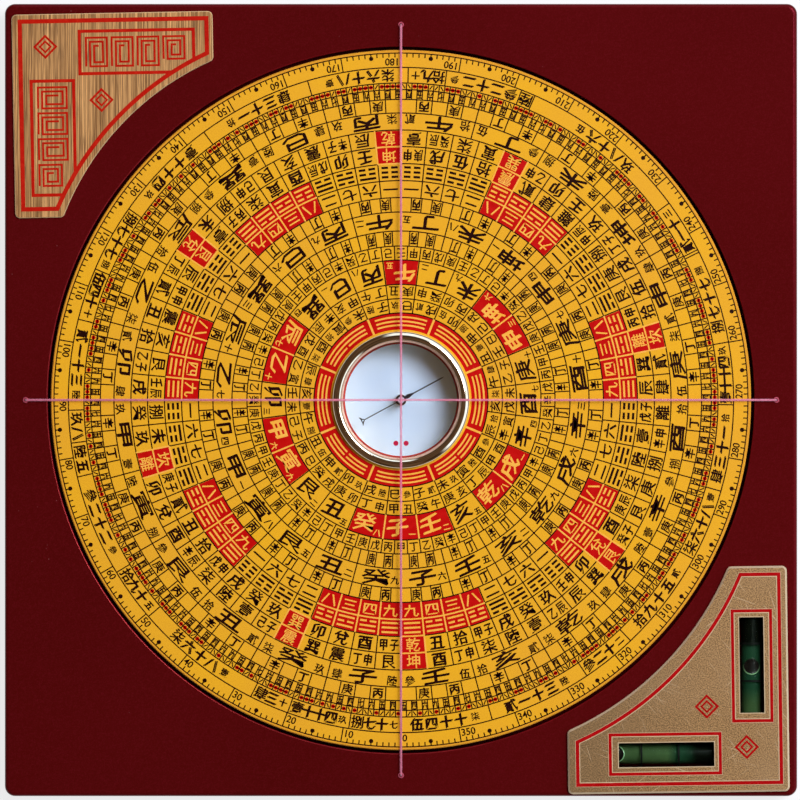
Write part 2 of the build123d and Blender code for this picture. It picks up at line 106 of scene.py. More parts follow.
# Lines of each trigram, from the bottom line to the top one: 1 is whole and 0 is broken
TRIGRAM_LINES = {
    "乾": (1, 1, 1),
    "兌": (1, 1, 0),
    "離": (1, 0, 1),
    "震": (1, 0, 0),
    "巽": (0, 1, 1),
    "坎": (0, 1, 0),
    "艮": (0, 0, 1),
    "坤": (0, 0, 0),
}
TRIGRAMS_OUTWARD = "乾兌離震巽坎艮坤"
TRIGRAMS_AROUND = "坤震離兌乾巽坎艮"


# Finishes. A colour of three numbers is a painter's: red, green and blue, each from 0 to 255.
# A colour of four numbers is Blender's linear one.


# Every finish, by its name, and the share of the floor's look that is glow
FINISHES = {}
FLOOR_GLOW = 0.78


def paint(red, green, blue):
    """A painter's colour as Blender's linear one."""
    shares = [channel / 255 for channel in (red, green, blue)]
    linear = [s / 12.92 if s <= 0.04045 else ((s + 0.055) / 1.055) ** 2.4 for s in shares]
    return (*linear, 1)


class Net:
    """The shader nodes of a material or a world."""

    def __init__(self, owner, place):
        owner.use_nodes = True
        self.nodes = owner.node_tree.nodes
        self.links = owner.node_tree.links
        self.place = self.nodes.new("ShaderNodeTexCoord").outputs[place]

    def joined(self, kind, source, inputs=(), **settings):
        """A new node of a kind whose first input takes the source."""
        node = self.nodes.new(kind)
        for key, value in settings.items():
            setattr(node, key, value)
        for key, value in dict(inputs).items():
            node.inputs[key].default_value = value
        self.links.new(source, node.inputs[0])
        return node

    def along(self, axis, source=None):
        """One part of a vector: of the place, in metres, if no other is given."""
        return self.joined("ShaderNodeSeparateXYZ", source or self.place).outputs[axis]

    def vector_math(self, operation, source, inputs=()):
        """The outputs of a vector sum: its vector and its value."""
        return self.joined("ShaderNodeVectorMath", source, inputs, operation=operation).outputs

    def grain(self, scale, detail=3, place=None):
        """Cloudy noise from 0 to 1, with so many clouds to a metre."""
        inputs = {"Scale": scale, "Detail": detail}
        return self.joined("ShaderNodeTexNoise", place or self.place, inputs).outputs["Fac"]

    def spread(self, source, low, high, **settings):
        """The source's range from low to high, spread over 0 to 1."""
        inputs = {"From Min": low, "From Max": high}
        return self.joined("ShaderNodeMapRange", source, inputs, **settings).outputs[0]

    def maths(self, operation, first, second):
        """Two sources, or a source and a number, as one."""
        node = self.joined("ShaderNodeMath", first, operation=operation)
        if isinstance(second, (int, float)):
            node.inputs[1].default_value = second
        else:
            self.links.new(second, node.inputs[1])
        return node.outputs[0]

    def times(self, first, second):
        """The product of two shares."""
        return self.maths("MULTIPLY", first, second)

    def blend(self, share, first, second):
        """The first colour where the share is 0 and the second where it is 1."""
        node = self.nodes.new("ShaderNodeMix")
        node.data_type = "RGBA"
        self.links.new(share, node.inputs["Factor"])
        named = {s.identifier: s for s in node.inputs}
        for key, colour in (("A_Color", first), ("B_Color", second)):
            if isinstance(colour, tuple):
                named[key].default_value = paint(*colour) if len(colour) == 3 else colour
            else:
                self.links.new(colour, named[key])
        return [s for s in node.outputs if s.identifier == "Result_Color"][0]

    def fade(self, source, low, high, first, second, most=1, **settings):
        """The first colour, with more of the second, up to a share, as the source nears high."""
        share = self.spread(source, low, high, **settings)
        return self.blend(self.times(share, most) if most < 1 else share, first, second)


class Finish(Net):
    """A procedural material on Object coordinates, with its shader's own sockets set."""

    def __init__(self, name, colour, roughness, metallic=0.0, **sockets):
        self.material = bpy.data.materials.new(name)
        FINISHES[name] = self.material
        super().__init__(self.material, "Object")
        self.shader = self.nodes["Principled BSDF"]
        self.shader.inputs["Base Color"].default_value = paint(*colour)
        self.shader.inputs["Roughness"].default_value = roughness
        self.shader.inputs["Metallic"].default_value = metallic
        for socket, value in sockets.items():
            self.shader.inputs[socket.replace("_", " ")].default_value = value

    def stretched(self, along_x, along_y, turn=0):
        """Object coordinates, turned about the vertical, then with so many steps to a metre."""
        inputs = {"Scale": (1 / along_x, 1 / along_y, 1), "Rotation": (0, 0, turn)}
        node = self.joined("ShaderNodeMapping", self.place, inputs, vector_type="TEXTURE")
        return node.outputs[0]

    def radius(self):
        """Distance from the dial's axis, in metres."""
        flat = self.vector_math("MULTIPLY", self.place, {1: (1, 1, 0)})[0]
        return self.vector_math("LENGTH", flat)["Value"]

    def specks(self, scale, size_share):
        """1 in small round specks and 0 between them."""
        node = self.joined("ShaderNodeTexVoronoi", self.place, {"Scale": scale})
        return self.spread(node.outputs["Distance"], size_share, 0)

    def worn(self, base, colour, most):
        """The base, with a painted highlight of another colour on the bevels and walls, where a face
        leans.
        """
        normal = self.nodes.new("ShaderNodeNewGeometry").outputs["Normal"]
        return self.fade(self.along("Z", normal), 0.98, 0.8, base, colour, most)

    def coloured(self, source):
        """Gives the shader its colour."""
        self.links.new(source, self.shader.inputs["Base Color"])

    def roughened(self, source, low, high):
        """Roughness from low to high as the source goes from 0 to 1."""
        node = self.joined("ShaderNodeMapRange", source, {"To Min": low, "To Max": high})
        self.links.new(node.outputs[0], self.shader.inputs["Roughness"])

    def raised(self, source, height_mm):
        """Bumps of that height where the source is 1."""
        node = self.nodes.new("ShaderNodeBump")
        node.inputs["Strength"].default_value = 1.0
        node.inputs["Distance"].default_value = height_mm * MM
        self.links.new(source, node.inputs["Height"])
        self.links.new(node.outputs[0], self.shader.inputs["Normal"])

    def mixed(self, share, first, second):
        """The first shader where the share is 0 and the second where it is 1."""
        node = self.joined("ShaderNodeMixShader", share)
        self.links.new(first, node.inputs[1])
        self.links.new(second, node.inputs[2])
        return node.outputs[0]

    def shown(self, shader):
        """Makes a shader the one that the material shows."""
        out = [node for node in self.nodes if node.type == "OUTPUT_MATERIAL"][0]
        self.links.new(shader, out.inputs["Surface"])


def mottled(name, dark, light, roughness, scale=600, metallic=0.0, bump_mm=0.0, **sockets):
    """A plain finish with cloudy colour, uneven gloss and, if it has a height, a fine bump."""
    finish = Finish(name, dark, roughness, metallic, **sockets)
    clouds = finish.grain(scale, detail=4)
    finish.coloured(finish.fade(clouds, 0.35, 0.65, dark, light))
    finish.roughened(clouds, roughness * 0.8, roughness * 1.2)
    if bump_mm:
        finish.raised(finish.grain(scale * 6), bump_mm)
    return finish


def make_board_laminate():
    """Deep red pressed laminate, polished, with flecks, dust and a fine bump."""
    tint = paint(255, 88, 116)
    finish = Finish("board_laminate", (80, 8, 8), 0.18, Specular_IOR_Level=0.25, Specular_Tint=tint)
    clouds = finish.grain(14, detail=2)
    base = finish.fade(clouds, 0.35, 0.65, (76, 8, 7), (82, 9, 9))
    base = finish.fade(finish.grain(4200, detail=2), 0.45, 0.8, base, (110, 20, 28), 0.45)
    dust = finish.times(finish.specks(420, 0.05), finish.spread(finish.grain(90), 0.52, 0.62))
    finish.coloured(finish.blend(dust, base, (165, 95, 95)))
    finish.roughened(clouds, 0.16, 0.2)
    finish.raised(finish.grain(2600, detail=4), 0.0006)


def make_dial_print():
    """Yellow enamel on the printed plate, darker outside its last line, with painted shade in brown on
    its edge bevel.
    """
    finish = Finish("dial_print", (232, 165, 24), 0.26, Specular_IOR_Level=0.15)
    clouds = finish.grain(60)
    base = finish.fade(clouds, 0.3, 0.7, (234, 169, 42), (239, 176, 31))
    base = finish.fade(finish.grain(5200, detail=2), 0.45, 0.75, base, (214, 150, 36), 0.3)
    line = NUMBER_END + 0.02
    radius = finish.radius()
    base = finish.fade(radius, line * MM, (line + 0.04) * MM, base, (226, 156, 40))
    # Painted shade: the edge bevel past DIAL_EDGE is dark brown, deepening the shadow of the gap round
    # the dial.
    base = finish.fade(radius, DIAL_EDGE * MM, (DIAL_EDGE + 0.06) * MM, base, (120, 74, 24))
    finish.coloured(base)
    finish.roughened(clouds, 0.24, 0.3)
    finish.raised(finish.grain(3000), 0.002)


def make_brushed_brass():
    """Thin brass laid in vertical brush lines."""
    finish = Finish("brushed_brass", (184, 138, 92), 0.42, metallic=0.35)
    fine = finish.grain(1, place=finish.stretched(8200, 170))
    broad = finish.grain(1, detail=2, place=finish.stretched(4200, 45))
    slow = finish.grain(1, detail=2, place=finish.stretched(420, 9))
    base = finish.fade(broad, 0.36, 0.64, (136, 92, 42), (240, 182, 110))
    base = finish.fade(slow, 0.4, 0.65, base, (160, 114, 62), 0.4)
    base = finish.fade(fine, 0.52, 0.66, base, (84, 52, 22), 0.75)
    # Pale bevels and walls: a painted highlight where the plate's edges catch the light.
    finish.coloured(finish.worn(base, (222, 190, 140), 0.7))
    finish.roughened(fine, 0.34, 0.5)
    finish.raised(fine, 0.006)


def make_satin_brass():
    """Satin brass, with painted shade darkening its left, a fine sandy grain, a few bright hair
    scratches and painted highlight on its bevels.
    """
    finish = Finish("satin_brass", (146, 112, 74), 0.48, metallic=0.35)
    sand = finish.grain(4600, detail=2)
    base = finish.fade(sand, 0.36, 0.64, (98, 71, 32), (188, 146, 88))
    base = finish.fade(finish.grain(60, detail=2), 0.45, 0.7, base, (168, 136, 92), 0.35)
    # Painted shade: darker towards the plate's left, away from the light.
    base = finish.fade(finish.along("X"), 60 * MM, 34 * MM, base, (98, 78, 46), 0.45)
    for turn in (35, -50, 108, 160):
        streak = finish.grain(1, detail=1, place=finish.stretched(110, 3000, radians(turn)))
        base = finish.fade(streak, 0.7, 0.76, base, (206, 178, 134), 0.6)
    # Pale bevels and walls: a painted highlight where the plate's edges catch the light.
    finish.coloured(finish.worn(base, (226, 204, 168), 0.7))
    finish.roughened(sand, 0.4, 0.56)
    finish.raised(sand, 0.004)


def make_clear(name, colour, ior, haze=0.0):
    """Clear glass or plastic, with a little haze, that lets light through to what lies under it."""
    finish = mottled(name, colour, colour, 0.01, 20, Transmission_Weight=1 - haze, IOR=ior)
    through = finish.nodes.new("ShaderNodeBsdfTransparent")
    through.inputs["Color"].default_value = paint(*colour)
    path = finish.nodes.new("ShaderNodeLightPath")
    seen = finish.shader.outputs[0]
    for kind in ("Is Diffuse Ray", "Is Shadow Ray"):
        seen = finish.mixed(path.outputs[kind], seen, through.outputs[0])
    finish.shown(seen)


def make_cap_metal():
    """A bright cap with a dark collar round it."""
    finish = Finish("cap_metal", (214, 208, 214), 0.25, metallic=0.4)
    clouds = finish.grain(900, detail=2)
    bright = finish.blend(clouds, (214, 204, 214), (236, 226, 238))
    finish.coloured(finish.fade(finish.radius(), 0.6 * MM, 0.72 * MM, bright, (26, 20, 30)))
    finish.roughened(clouds, 0.2, 0.3)


def make_level_liquid(name, axis, shade_start, teal_shade_full, deep_shade_start, deep_shade_full):
    """Green spirit with a few specks, and painted shade that turns it to teal and then to black towards
    one end of its tube.
    """
    finish = Finish(name, (50, 72, 44), 0.4, Specular_IOR_Level=0.04)
    clouds = finish.grain(260)
    base = finish.fade(clouds, 0.35, 0.65, (60, 81, 49), (72, 93, 57))
    place = finish.along(axis)
    # Painted shade: teal and then near black towards the end that the window's edge shades.
    base = finish.fade(place, shade_start * MM, teal_shade_full * MM, base, (29, 62, 42))
    base = finish.fade(place, deep_shade_start * MM, deep_shade_full * MM, base, (7, 10, 5))
    specks = finish.times(finish.specks(700, 0.1), finish.spread(finish.grain(300), 0.55, 0.62))
    finish.coloured(finish.blend(finish.times(specks, 0.5), base, (112, 150, 116)))
    finish.roughened(clouds, 0.35, 0.5)


def make_air_rim(name, axis, shaded_side_end, highlight_start):
    """A painted highlight on the edge of a bubble, with painted shade on one side of it."""
    finish = Finish(name, (130, 172, 128), 0.15, Specular_IOR_Level=0.3)
    clouds = finish.grain(1500, detail=2)
    bright = finish.blend(clouds, (112, 160, 112), (176, 206, 164))
    place = finish.along(axis)
    # Painted shade on one side of the rim, painted highlight on the other.
    finish.coloured(finish.fade(place, shaded_side_end * MM, highlight_start * MM, (34, 60, 40), bright))
    finish.roughened(clouds, 0.1, 0.25)


def make_floor_paper():
    """Pale paper that the camera sees nearly white, with a light shadow; clear from below."""
    finish = mottled("floor_paper", (240, 240, 240), (244, 244, 244), 0.9, 30)
    glow = finish.nodes.new("ShaderNodeEmission").outputs[0]
    through = finish.nodes.new("ShaderNodeBsdfTransparent").outputs[0]
    from_below = finish.nodes.new("ShaderNodeNewGeometry").outputs["Backfacing"]
    path = finish.nodes.new("ShaderNodeLightPath")
    seen = path.outputs["Is Camera Ray"]
    for kind in ("Is Glossy Ray", "Is Transmission Ray"):
        seen = finish.maths("MAXIMUM", seen, path.outputs[kind])
    paper = finish.mixed(finish.times(seen, FLOOR_GLOW), finish.shader.outputs[0], glow)
    finish.shown(finish.mixed(from_below, paper, through))


# Plain finishes by name: dark and light colour, roughness, and what else mottled takes
INK = {"scale": 700, "Specular_IOR_Level": 0.15}
MATT = {"Specular_IOR_Level": 0.1}
METAL = {"scale": 900, "metallic": 1.0}
PLAIN_FINISHES = {
    # A red a little lighter than the board's: painted sheen on the well's bead, on top of its real
    # gloss.
    "board_edge_sheen": (
        (90, 8, 12), (104, 14, 18), 0.2,
        {"scale": 300, "Specular_IOR_Level": 1.0, "Specular_Tint": paint(255, 96, 96)},
    ),
    "black_ink": ((28, 4, 2), (38, 8, 3), 0.26, INK),
    "red_ink": ((190, 8, 5), (200, 13, 9), 0.26, INK),
    "yellow_ink": ((248, 176, 60), (250, 186, 78), 0.26, INK),
    "upper_red": ((180, 20, 8), (192, 30, 12), 0.26, INK),
    "lower_red": ((166, 6, 10), (176, 10, 14), 0.26, INK),
    # Pale lines that stand as painted highlight along the plate's raised edges and window cuts.
    "plate_edge_highlight": ((196, 168, 124), (208, 182, 138), 0.4, {}),
    "polished_gold": ((226, 208, 178), (234, 220, 194), 0.06, METAL),
    "pale_brass": ((222, 182, 156), (232, 194, 170), 0.35, {"scale": 900, "metallic": 0.2}),
    "turned_brass": ((196, 158, 92), (208, 172, 106), 0.3, METAL),
    "dial_core": ((52, 20, 20), (64, 26, 24), 0.45, {"scale": 500}),
    "felt": ((60, 56, 56), (78, 72, 70), 0.9, {"scale": 4000, "bump_mm": 0.05}),
    "card_white": ((208, 236, 255), (214, 241, 255), 0.5, {"scale": 80}),
    "card_red": ((172, 50, 40), (184, 60, 50), 0.5, MATT),
    "card_dot": ((186, 6, 60), (196, 12, 68), 0.4, MATT),
    "gasket_red": ((150, 24, 20), (166, 32, 28), 0.6, {"scale": 1500}),
    "bright_steel": ((176, 178, 184), (196, 198, 202), 0.2, METAL),
    "blued_steel": ((8, 6, 10), (15, 12, 18), 0.35, {"scale": 900, "Specular_IOR_Level": 0.2}),
    "jewel": ((224, 176, 190), (236, 196, 206), 0.08, {"scale": 900}),
    "nylon_line": (
        (240, 140, 164), (247, 154, 178), 0.2,
        {"scale": 1200, "Alpha": 0.45, "Specular_IOR_Level": 0.4},
    ),
    "eyelet_red": ((164, 56, 74), (182, 72, 90), 0.3, {"scale": 1500}),
    "crimp_tin": ((170, 170, 172), (190, 190, 190), 0.35, {"scale": 1500, "metallic": 0.9}),
    "level_black": ((6, 9, 6), (12, 15, 11), 0.6, MATT),
    "level_air": ((17, 10, 9), (24, 15, 13), 0.4, {"scale": 300, "Specular_IOR_Level": 0.15}),
}


def make_finishes():
    """Every finish of the compass."""
    for name, (dark, light, roughness, others) in PLAIN_FINISHES.items():
        mottled(name, dark, light, roughness, **others)
    make_board_laminate()
    make_dial_print()
    make_brushed_brass()
    make_satin_brass()
    make_clear("crystal_glass", (254, 254, 255), 1.38, haze=0.003)
    make_clear("level_acrylic", (240, 250, 242), 1.06)
    make_cap_metal()
    make_level_liquid("level_x_liquid", "X", 52.0, 54.0, 55.0, 57.8)
    make_level_liquid("level_y_liquid", "Y", -59.5, -56.5, -48.8, -47.3)
    make_air_rim("level_x_rim", "X", 41.0, 42.0)
    make_air_rim("level_y_rim", "Y", -51.6, -53.2)
    make_floor_paper()


# Making pieces


# A smooth piece's edges that turn by more than this many degrees are sharp
SHARP_FROM = 34


def put(name, data):
    """A new object in the scene."""
    item = bpy.data.objects.new(name, data)
    bpy.context.scene.collection.objects.link(item)
    return item


def finished_piece(name, bm, body, finish, smooth=False):
    """Turns a mesh in millimetres into a piece in metres that rides on a body."""
    bmesh.ops.recalc_face_normals(bm, faces=bm.faces)
    bmesh.ops.scale(bm, vec=(MM, MM, MM), verts=bm.verts)
    mesh = bpy.data.meshes.new(name)
    bm.to_mesh(mesh)
    bm.free()
    for face in mesh.polygons:
        face.use_smooth = smooth
    if smooth:
        mesh.set_sharp_from_angle(angle=radians(SHARP_FROM))
    mesh.materials.append(FINISHES[finish])
    piece = put(name, mesh)
    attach(piece, body)
    return piece


def turned(bm, profile, steps):
    """Spins a closed profile of (radius, height) points about the dial's axis."""
    corners = [bm.verts.new((radius, 0, height)) for radius, height in profile]
    edges = [bm.edges.new((a, b)) for a, b in zip(corners, corners[1:] + corners[:1])]
    bmesh.ops.spin(
        bm, geom=corners + edges, axis=(0, 0, 1), cent=(0, 0, 0), angle=tau, steps=steps,
        use_merge=True,
    )


def at_bearing(bearing, radius):
    """The point at a bearing and radius, in millimetres."""
    return Vector((-radius * sin(radians(bearing)), -radius * cos(radians(bearing)), 0))


# Signs of so many strokes that a broad brush would close them
BUSY_SIGNS = "巽艮乾離震亥寅辛癸庚辰壹貳參肆陸柒捌玖拾"
BUSY_BOLD = 0.45

# The middle of a sign and of a digit, in ems from where it starts, and how far both are fattened
SIGN_CENTRE = (0.5, 0.38)
DIGIT_CENTRE = (0.25, 0.34)
SIGN_WEIGHT = 0.009
sign_store = {}


def small_mesh(bm):
    """A mesh of its own from a small bmesh."""
    mesh = bpy.data.meshes.new("stamp")
    bm.to_mesh(mesh)
    bm.free()
    return mesh


def welded(curve, reach):
    """A curve's mesh, with the points that lie within reach of each other merged."""
    carrier = put("carrier", curve)
    graph = bpy.context.evaluated_depsgraph_get()
    mesh = bpy.data.meshes.new_from_object(carrier.evaluated_get(graph))
    bpy.data.objects.remove(carrier)
    bm = bmesh.new()
    bm.from_mesh(mesh)
    bmesh.ops.remove_doubles(bm, verts=bm.verts, dist=reach)
    return bm


def sign_mesh(sign):
    """One sign's closed mesh, one em high and one em deep, kept for the next use."""
    if sign in sign_store:
        return sign_store[sign]
    curve = bpy.data.curves.new("sign", "FONT")
    curve.body = sign
    curve.resolution_u = 3 if sign.isascii() else 1
    curve.offset = SIGN_WEIGHT
    curve.extrude = 0.5
    sign_store[sign] = small_mesh(welded(curve, 0.0005))
    return sign_store[sign]


def unit_bar():
    """A block one millimetre along each side."""
    bm = bmesh.new()
    bmesh.ops.create_cube(bm, size=1)
    return small_mesh(bm)


def unit_dot(sides):
    """A round block of unit radius and depth."""
    bm = bmesh.new()
    bmesh.ops.create_cone(bm, cap_ends=True, segments=sides, radius1=1, radius2=1, depth=1)
    return small_mesh(bm)


BAR = unit_bar()
DOTS = {sides: unit_dot(sides) for sides in (8, 12, 24)}


class Ink:
    """One colour of print on a flat face, gathered in one mesh in millimetres."""

    def __init__(self, face, rise):
        self.floor = face - PRINT_SINK
        self.depth = rise + PRINT_SINK
        self.bm = bmesh.new()

    def stamp(self, mesh, place):
        """Adds a copy of a small mesh, moved to its place."""
        copy = mesh.copy()
        copy.transform(place)
        self.bm.from_mesh(copy, face_normals=False, vertex_normals=False)
        bpy.data.meshes.remove(copy)

    def pour(self, bm):
        """Adds a small bmesh that is in its place already."""
        mesh = small_mesh(bm)
        self.bm.from_mesh(mesh, face_normals=False, vertex_normals=False)
        bpy.data.meshes.remove(mesh)

    def bar(self, x, y, across, along, turn=0.0, drop=0.0):
        """A straight stroke centred on a point."""
        depth = self.depth - drop
        place = Matrix.Translation((x, y, self.floor + depth / 2)) @ Matrix.Rotation(turn, 4, "Z")
        self.stamp(BAR, place @ Matrix.Diagonal((across, along, depth, 1)))

    def spoke(self, bearing, inner, outer, width=LINE_WIDTH):
        """A stroke along a radius of the dial."""
        middle = at_bearing(bearing, (inner + outer) / 2)
        self.bar(middle.x, middle.y, width, outer - inner, -radians(bearing), SPOKE_DROP)

    def sector(self, inner, outer, start, end, step=3.0):
        """A block of a ring between two bearings."""
        bm = bmesh.new()
        corners = []
        for radius, height in ((inner, 0), (outer, 0), (outer, self.depth), (inner, self.depth)):
            corner = at_bearing(start, radius)
            corners.append(bm.verts.new((corner.x, corner.y, self.floor + height)))
        face = bm.faces.new(corners)
        bmesh.ops.spin(
            bm, geom=[face, *face.edges, *face.verts], axis=(0, 0, 1), cent=(0, 0, 0),
            angle=-radians(end - start), steps=max(1, ceil((end - start) / step)),
        )
        self.pour(bm)

    def cell(self, inner, outer, start, end, middle):
        """A block of a ring that keeps a margin, as wide as at the middle, on both sides."""
        edge = degrees(RED_MARGIN / middle)
        self.sector(inner, outer, start + edge, end - edge)

    def hoop(self, radius, width=LINE_WIDTH, steps=180):
        """A thin line right round the dial."""
        low, high = self.floor, self.floor + self.depth - HOOP_DROP
        inner, outer = radius - width / 2, radius + width / 2
        bm = bmesh.new()
        turned(bm, ((inner, low), (outer, low), (outer, high), (inner, high)), steps)
        self.pour(bm)

    def dot(self, x, y, radius, sides=8):
        """A round dot."""
        place = Matrix.Translation((x, y, self.floor + self.depth / 2))
        self.stamp(DOTS[sides], place @ Matrix.Diagonal((radius, radius, self.depth, 1)))

    def sign(self, sign, bearing, radius, tall, wide=None, shift=0.0, slant=0.0, bold=0.0, brush=35):
        """A sign centred on a radius, its top to the middle. Shift moves it to its own right.

        Bold is how far a second strike lies from the first, in millimetres, at the brush's angle."""
        centre = DIGIT_CENTRE if sign.isascii() else SIGN_CENTRE
        lean = Matrix.Identity(4)
        lean[1][0] = slant
        mesh = sign_mesh(sign)
        bold = bold * BUSY_BOLD if sign in BUSY_SIGNS else bold
        for strike, drop in ((-bold / 2, 0), (bold / 2, SPOKE_DROP / 2)) if bold else ((0, 0),):
            depth = self.depth - drop
            place = (
                Matrix.Rotation(-radians(bearing), 4, "Z")
                @ Matrix.Translation((shift, -radius, self.floor + depth / 2))
                @ Matrix.Translation((strike * cos(radians(brush)), strike * sin(radians(brush)), 0))
                @ Matrix.Diagonal((wide or tall, tall, depth, 1))
            )
            self.stamp(mesh, place @ lean @ Matrix.Translation((-centre[0], -centre[1], 0)))


def around(count, first=0.0):
    """Bearings of a count of equal steps, from the first."""
    return [first + 360 * i / count for i in range(count)]


def trigram(ink, lines, bearing, inner, outer, half_width, thickness, gap):
    """Three lines across a cell, the top one nearest the middle, each whole or broken."""
    pitch = (outer - inner) / 2
    for row, whole in enumerate(reversed(lines)):
        radius = inner + row * pitch
        if whole:
            pieces = [(0, 2 * half_width)]
        else:
            length = half_width - gap / 2
            pieces = [(-(gap + length) / 2, length), ((gap + length) / 2, length)]
        for offset, length in pieces:
            turn = -radians(bearing)
            middle = at_bearing(bearing, radius) + Matrix.Rotation(turn, 3, "Z") @ Vector((offset, 0, 0))
            ink.bar(middle.x, middle.y, length, thickness, turn)


# The dial's print


def print_trigram_band(red, yellow, black):
    """The red band round the capsule, with eight trigrams in curved yellow lines."""
    red.hoop((TRIGRAM_START + TRIGRAM_END) / 2, TRIGRAM_END - TRIGRAM_START)
    half_span = 18.3
    gap_mm = 0.5
    for bearing, name in zip(around(8), TRIGRAMS_AROUND):
        yellow.spoke(bearing + 22.5, TRIGRAM_START, TRIGRAM_END, 0.42)
        for row, whole in enumerate(reversed(TRIGRAM_LINES[name])):
            radius = (14.63, 15.41, 16.23)[row]
            gap = degrees(gap_mm / radius)
            if whole:
                spans = [(-half_span, half_span)]
            else:
                spans = [(-half_span, -gap / 2), (gap / 2, half_span)]
            for start, end in spans:
                yellow.sector(radius - 0.17, radius + 0.17, bearing + start, bearing + end)
    black.hoop(TRIGRAM_END)


def print_pairs(black, inner, outer, first_signs, second_signs, tall, small):
    """Twenty-four cells with two signs side by side."""
    middle = (inner + outer) / 2
    for i, bearing in enumerate(around(24)):
        black.spoke(bearing + 7.5, inner, outer)
        half = radians(7.5) * middle
        first, second = first_signs[i], second_signs[i]
        black.sign(first, bearing, middle - 0.02, tall, tall * 1.1, shift=-0.5 * half, bold=0.1)
        black.sign(
            second, bearing, middle + 0.08, small, small * 0.95, shift=0.5 * half, bold=0.08
        )


def print_mountains(red, yellow, black):
    """The main ring: twenty-four signs, twelve of them on red, each with a small one."""
    inner, outer = OFFICE_END, MOUNTAIN_END
    middle = (inner + outer) / 2
    for i, bearing in enumerate(around(24)):
        name = MOUNTAINS[i]
        on_red = name in RED_MOUNTAINS
        black.spoke(bearing + 7.5, inner, outer)
        if on_red and MOUNTAINS[(i + 1) % 24] in RED_MOUNTAINS:
            yellow.spoke(bearing + 7.5, inner, outer, 0.3)
        if on_red:
            red.cell(inner, outer, bearing - 7.5, bearing + 7.5, middle)
        ink = yellow if on_red else black
        ink.sign(name, bearing, middle - 0.15, 3.7, 4.4, shift=-0.7, slant=0.1, bold=0.26)
        ink.sign(NUMERALS[(i * 7) % 10], bearing, middle + 1.25, 1.45, 1.4, shift=2.2, bold=0.1)


def print_dragons(black):
    """Seventy-two cells with one sign each."""
    inner, outer = MOUNTAIN_END, DRAGON_END
    for i, bearing in enumerate(around(72)):
        black.spoke(bearing + 2.5, inner, outer)
        black.sign(STEMS[(i * 2 + i // 6) % 10], bearing, (inner + outer) / 2, 2.1, 1.8, bold=0.09)


def print_stem_ring(black, inner, outer, tall, wide):
    """A hundred and twenty narrow cells, with signs in the second and fourth of each five."""
    middle = (inner + outer) / 2
    for i, bearing in enumerate(around(120, 1.5)):
        black.spoke(bearing - 1.5, inner, outer)
        if i % 5 in (1, 3):
            sign = STEM_PAIRS[(i // 5 + 1) // 2 % 2][i % 5 // 2]
            black.sign(sign, bearing, middle, tall, wide, bold=0.2)


def print_wide_mountains(black, inner, outer, first, tall, wide, numerals, sides, small):
    """Twenty-four wide signs drawn with a broad brush, with small numerals at their sides."""
    middle = (inner + outer) / 2
    brush = {"shift": -0.35, "slant": 0.08, "bold": 0.2, "brush": 70}
    for i, bearing in enumerate(around(24, first)):
        black.spoke(bearing - 7.5, inner, outer)
        black.sign(MOUNTAINS[i], bearing, middle, tall, wide, **brush)
        for side in sides:
            sign = numerals[(i * 3 + side + 4) % 10]
            shift = side * middle * radians(5.7)
            black.sign(sign, bearing, middle + 0.2, small, shift=shift, bold=0.12)


def print_figures(red, yellow, black):
    """The numerals and their trigrams, four cells in red and four in black by turns."""
    cell = 360 / 64
    for i in range(64):
        start, end = cell * i, cell * (i + 1)
        bearing = cell * (i + 0.5)
        turn = min(i, 63 - i) % 8
        on_red = turn < 4
        ink = yellow if on_red else black
        black.spoke(start, MIDDLE_STEM_END, LOWER_NAME_END)
        middle = (MIDDLE_STEM_END + NUMERAL_END) / 2
        ink.sign(FIGURE_NUMERALS[turn], bearing, middle, 2.5, 3.0, bold=0.06 if on_red else 0.16)
        lines = TRIGRAM_LINES[TRIGRAMS_OUTWARD[turn]]
        line = 0.38 if on_red else 0.46
        trigram(ink, lines, bearing, NUMERAL_END + 0.75, FIGURE_END - 0.75, 1.6, line, 0.6)
        if on_red:
            red.cell(MIDDLE_STEM_END, NUMERAL_END - RED_MARGIN, start, end, middle)
            red.cell(NUMERAL_END + RED_MARGIN, FIGURE_END, start, end, middle)
            yellow.sector(NUMERAL_END - RED_MARGIN, NUMERAL_END + RED_MARGIN, start, end)
            if turn < 3:
                border = end if i < 32 else start
                yellow.spoke(border, MIDDLE_STEM_END, FIGURE_END, 2 * RED_MARGIN)


NAME_SIGNS = "寅辰庚貳癸酉參艮肆戌兌壹亥離伍卯陸震未拾壬柒巽捌丑玖"

# The cells of the names in red: the sign in the inner ring and the one in the outer ring
RED_NAMES = {
    4: "巽震", 13: "坎離", 22: "艮兌", 31: "坤乾",
    36: "震巽", 45: "離坎", 54: "兌艮", 63: "乾坤",
}


def print_names(red, yellow, black):
    """Two rings of sixty-four names, with eight pairs of cells in red."""
    cell = 360 / 64
    rings = ((FIGURE_END, UPPER_NAME_END), (UPPER_NAME_END, LOWER_NAME_END))
    for row, (inner, outer) in enumerate(rings):
        middle = (inner + outer) / 2
        for i in range(64):
            start, end = cell * i, cell * (i + 1)
            bearing = cell * (i + 0.5)
            if i in RED_NAMES:
                red.cell(inner + RED_MARGIN, outer - RED_MARGIN, start, end, middle)
                yellow.sign(RED_NAMES[i][row], bearing, middle, 2.9)
                yellow.sector(inner - RED_MARGIN, inner + RED_MARGIN, start, end)
                for side in (start, end):
                    yellow.spoke(side, inner, outer, 2 * RED_MARGIN)
            elif (i * 5 + row * 3) % 4 == 0:
                pair = (STEMS[(i * 3) % 10], BRANCHES[(i * 7 + row) % 12])
                for sign, shift in zip(pair, (-1.05, 1.05)):
                    black.sign(sign, bearing, middle, 2.5, 1.8, shift=shift, bold=0.18)
            else:
                sign = NAME_SIGNS[(i * 5 + row * 7) % len(NAME_SIGNS)]
                black.sign(sign, bearing, middle, 2.9, 3.0, bold=0.23)


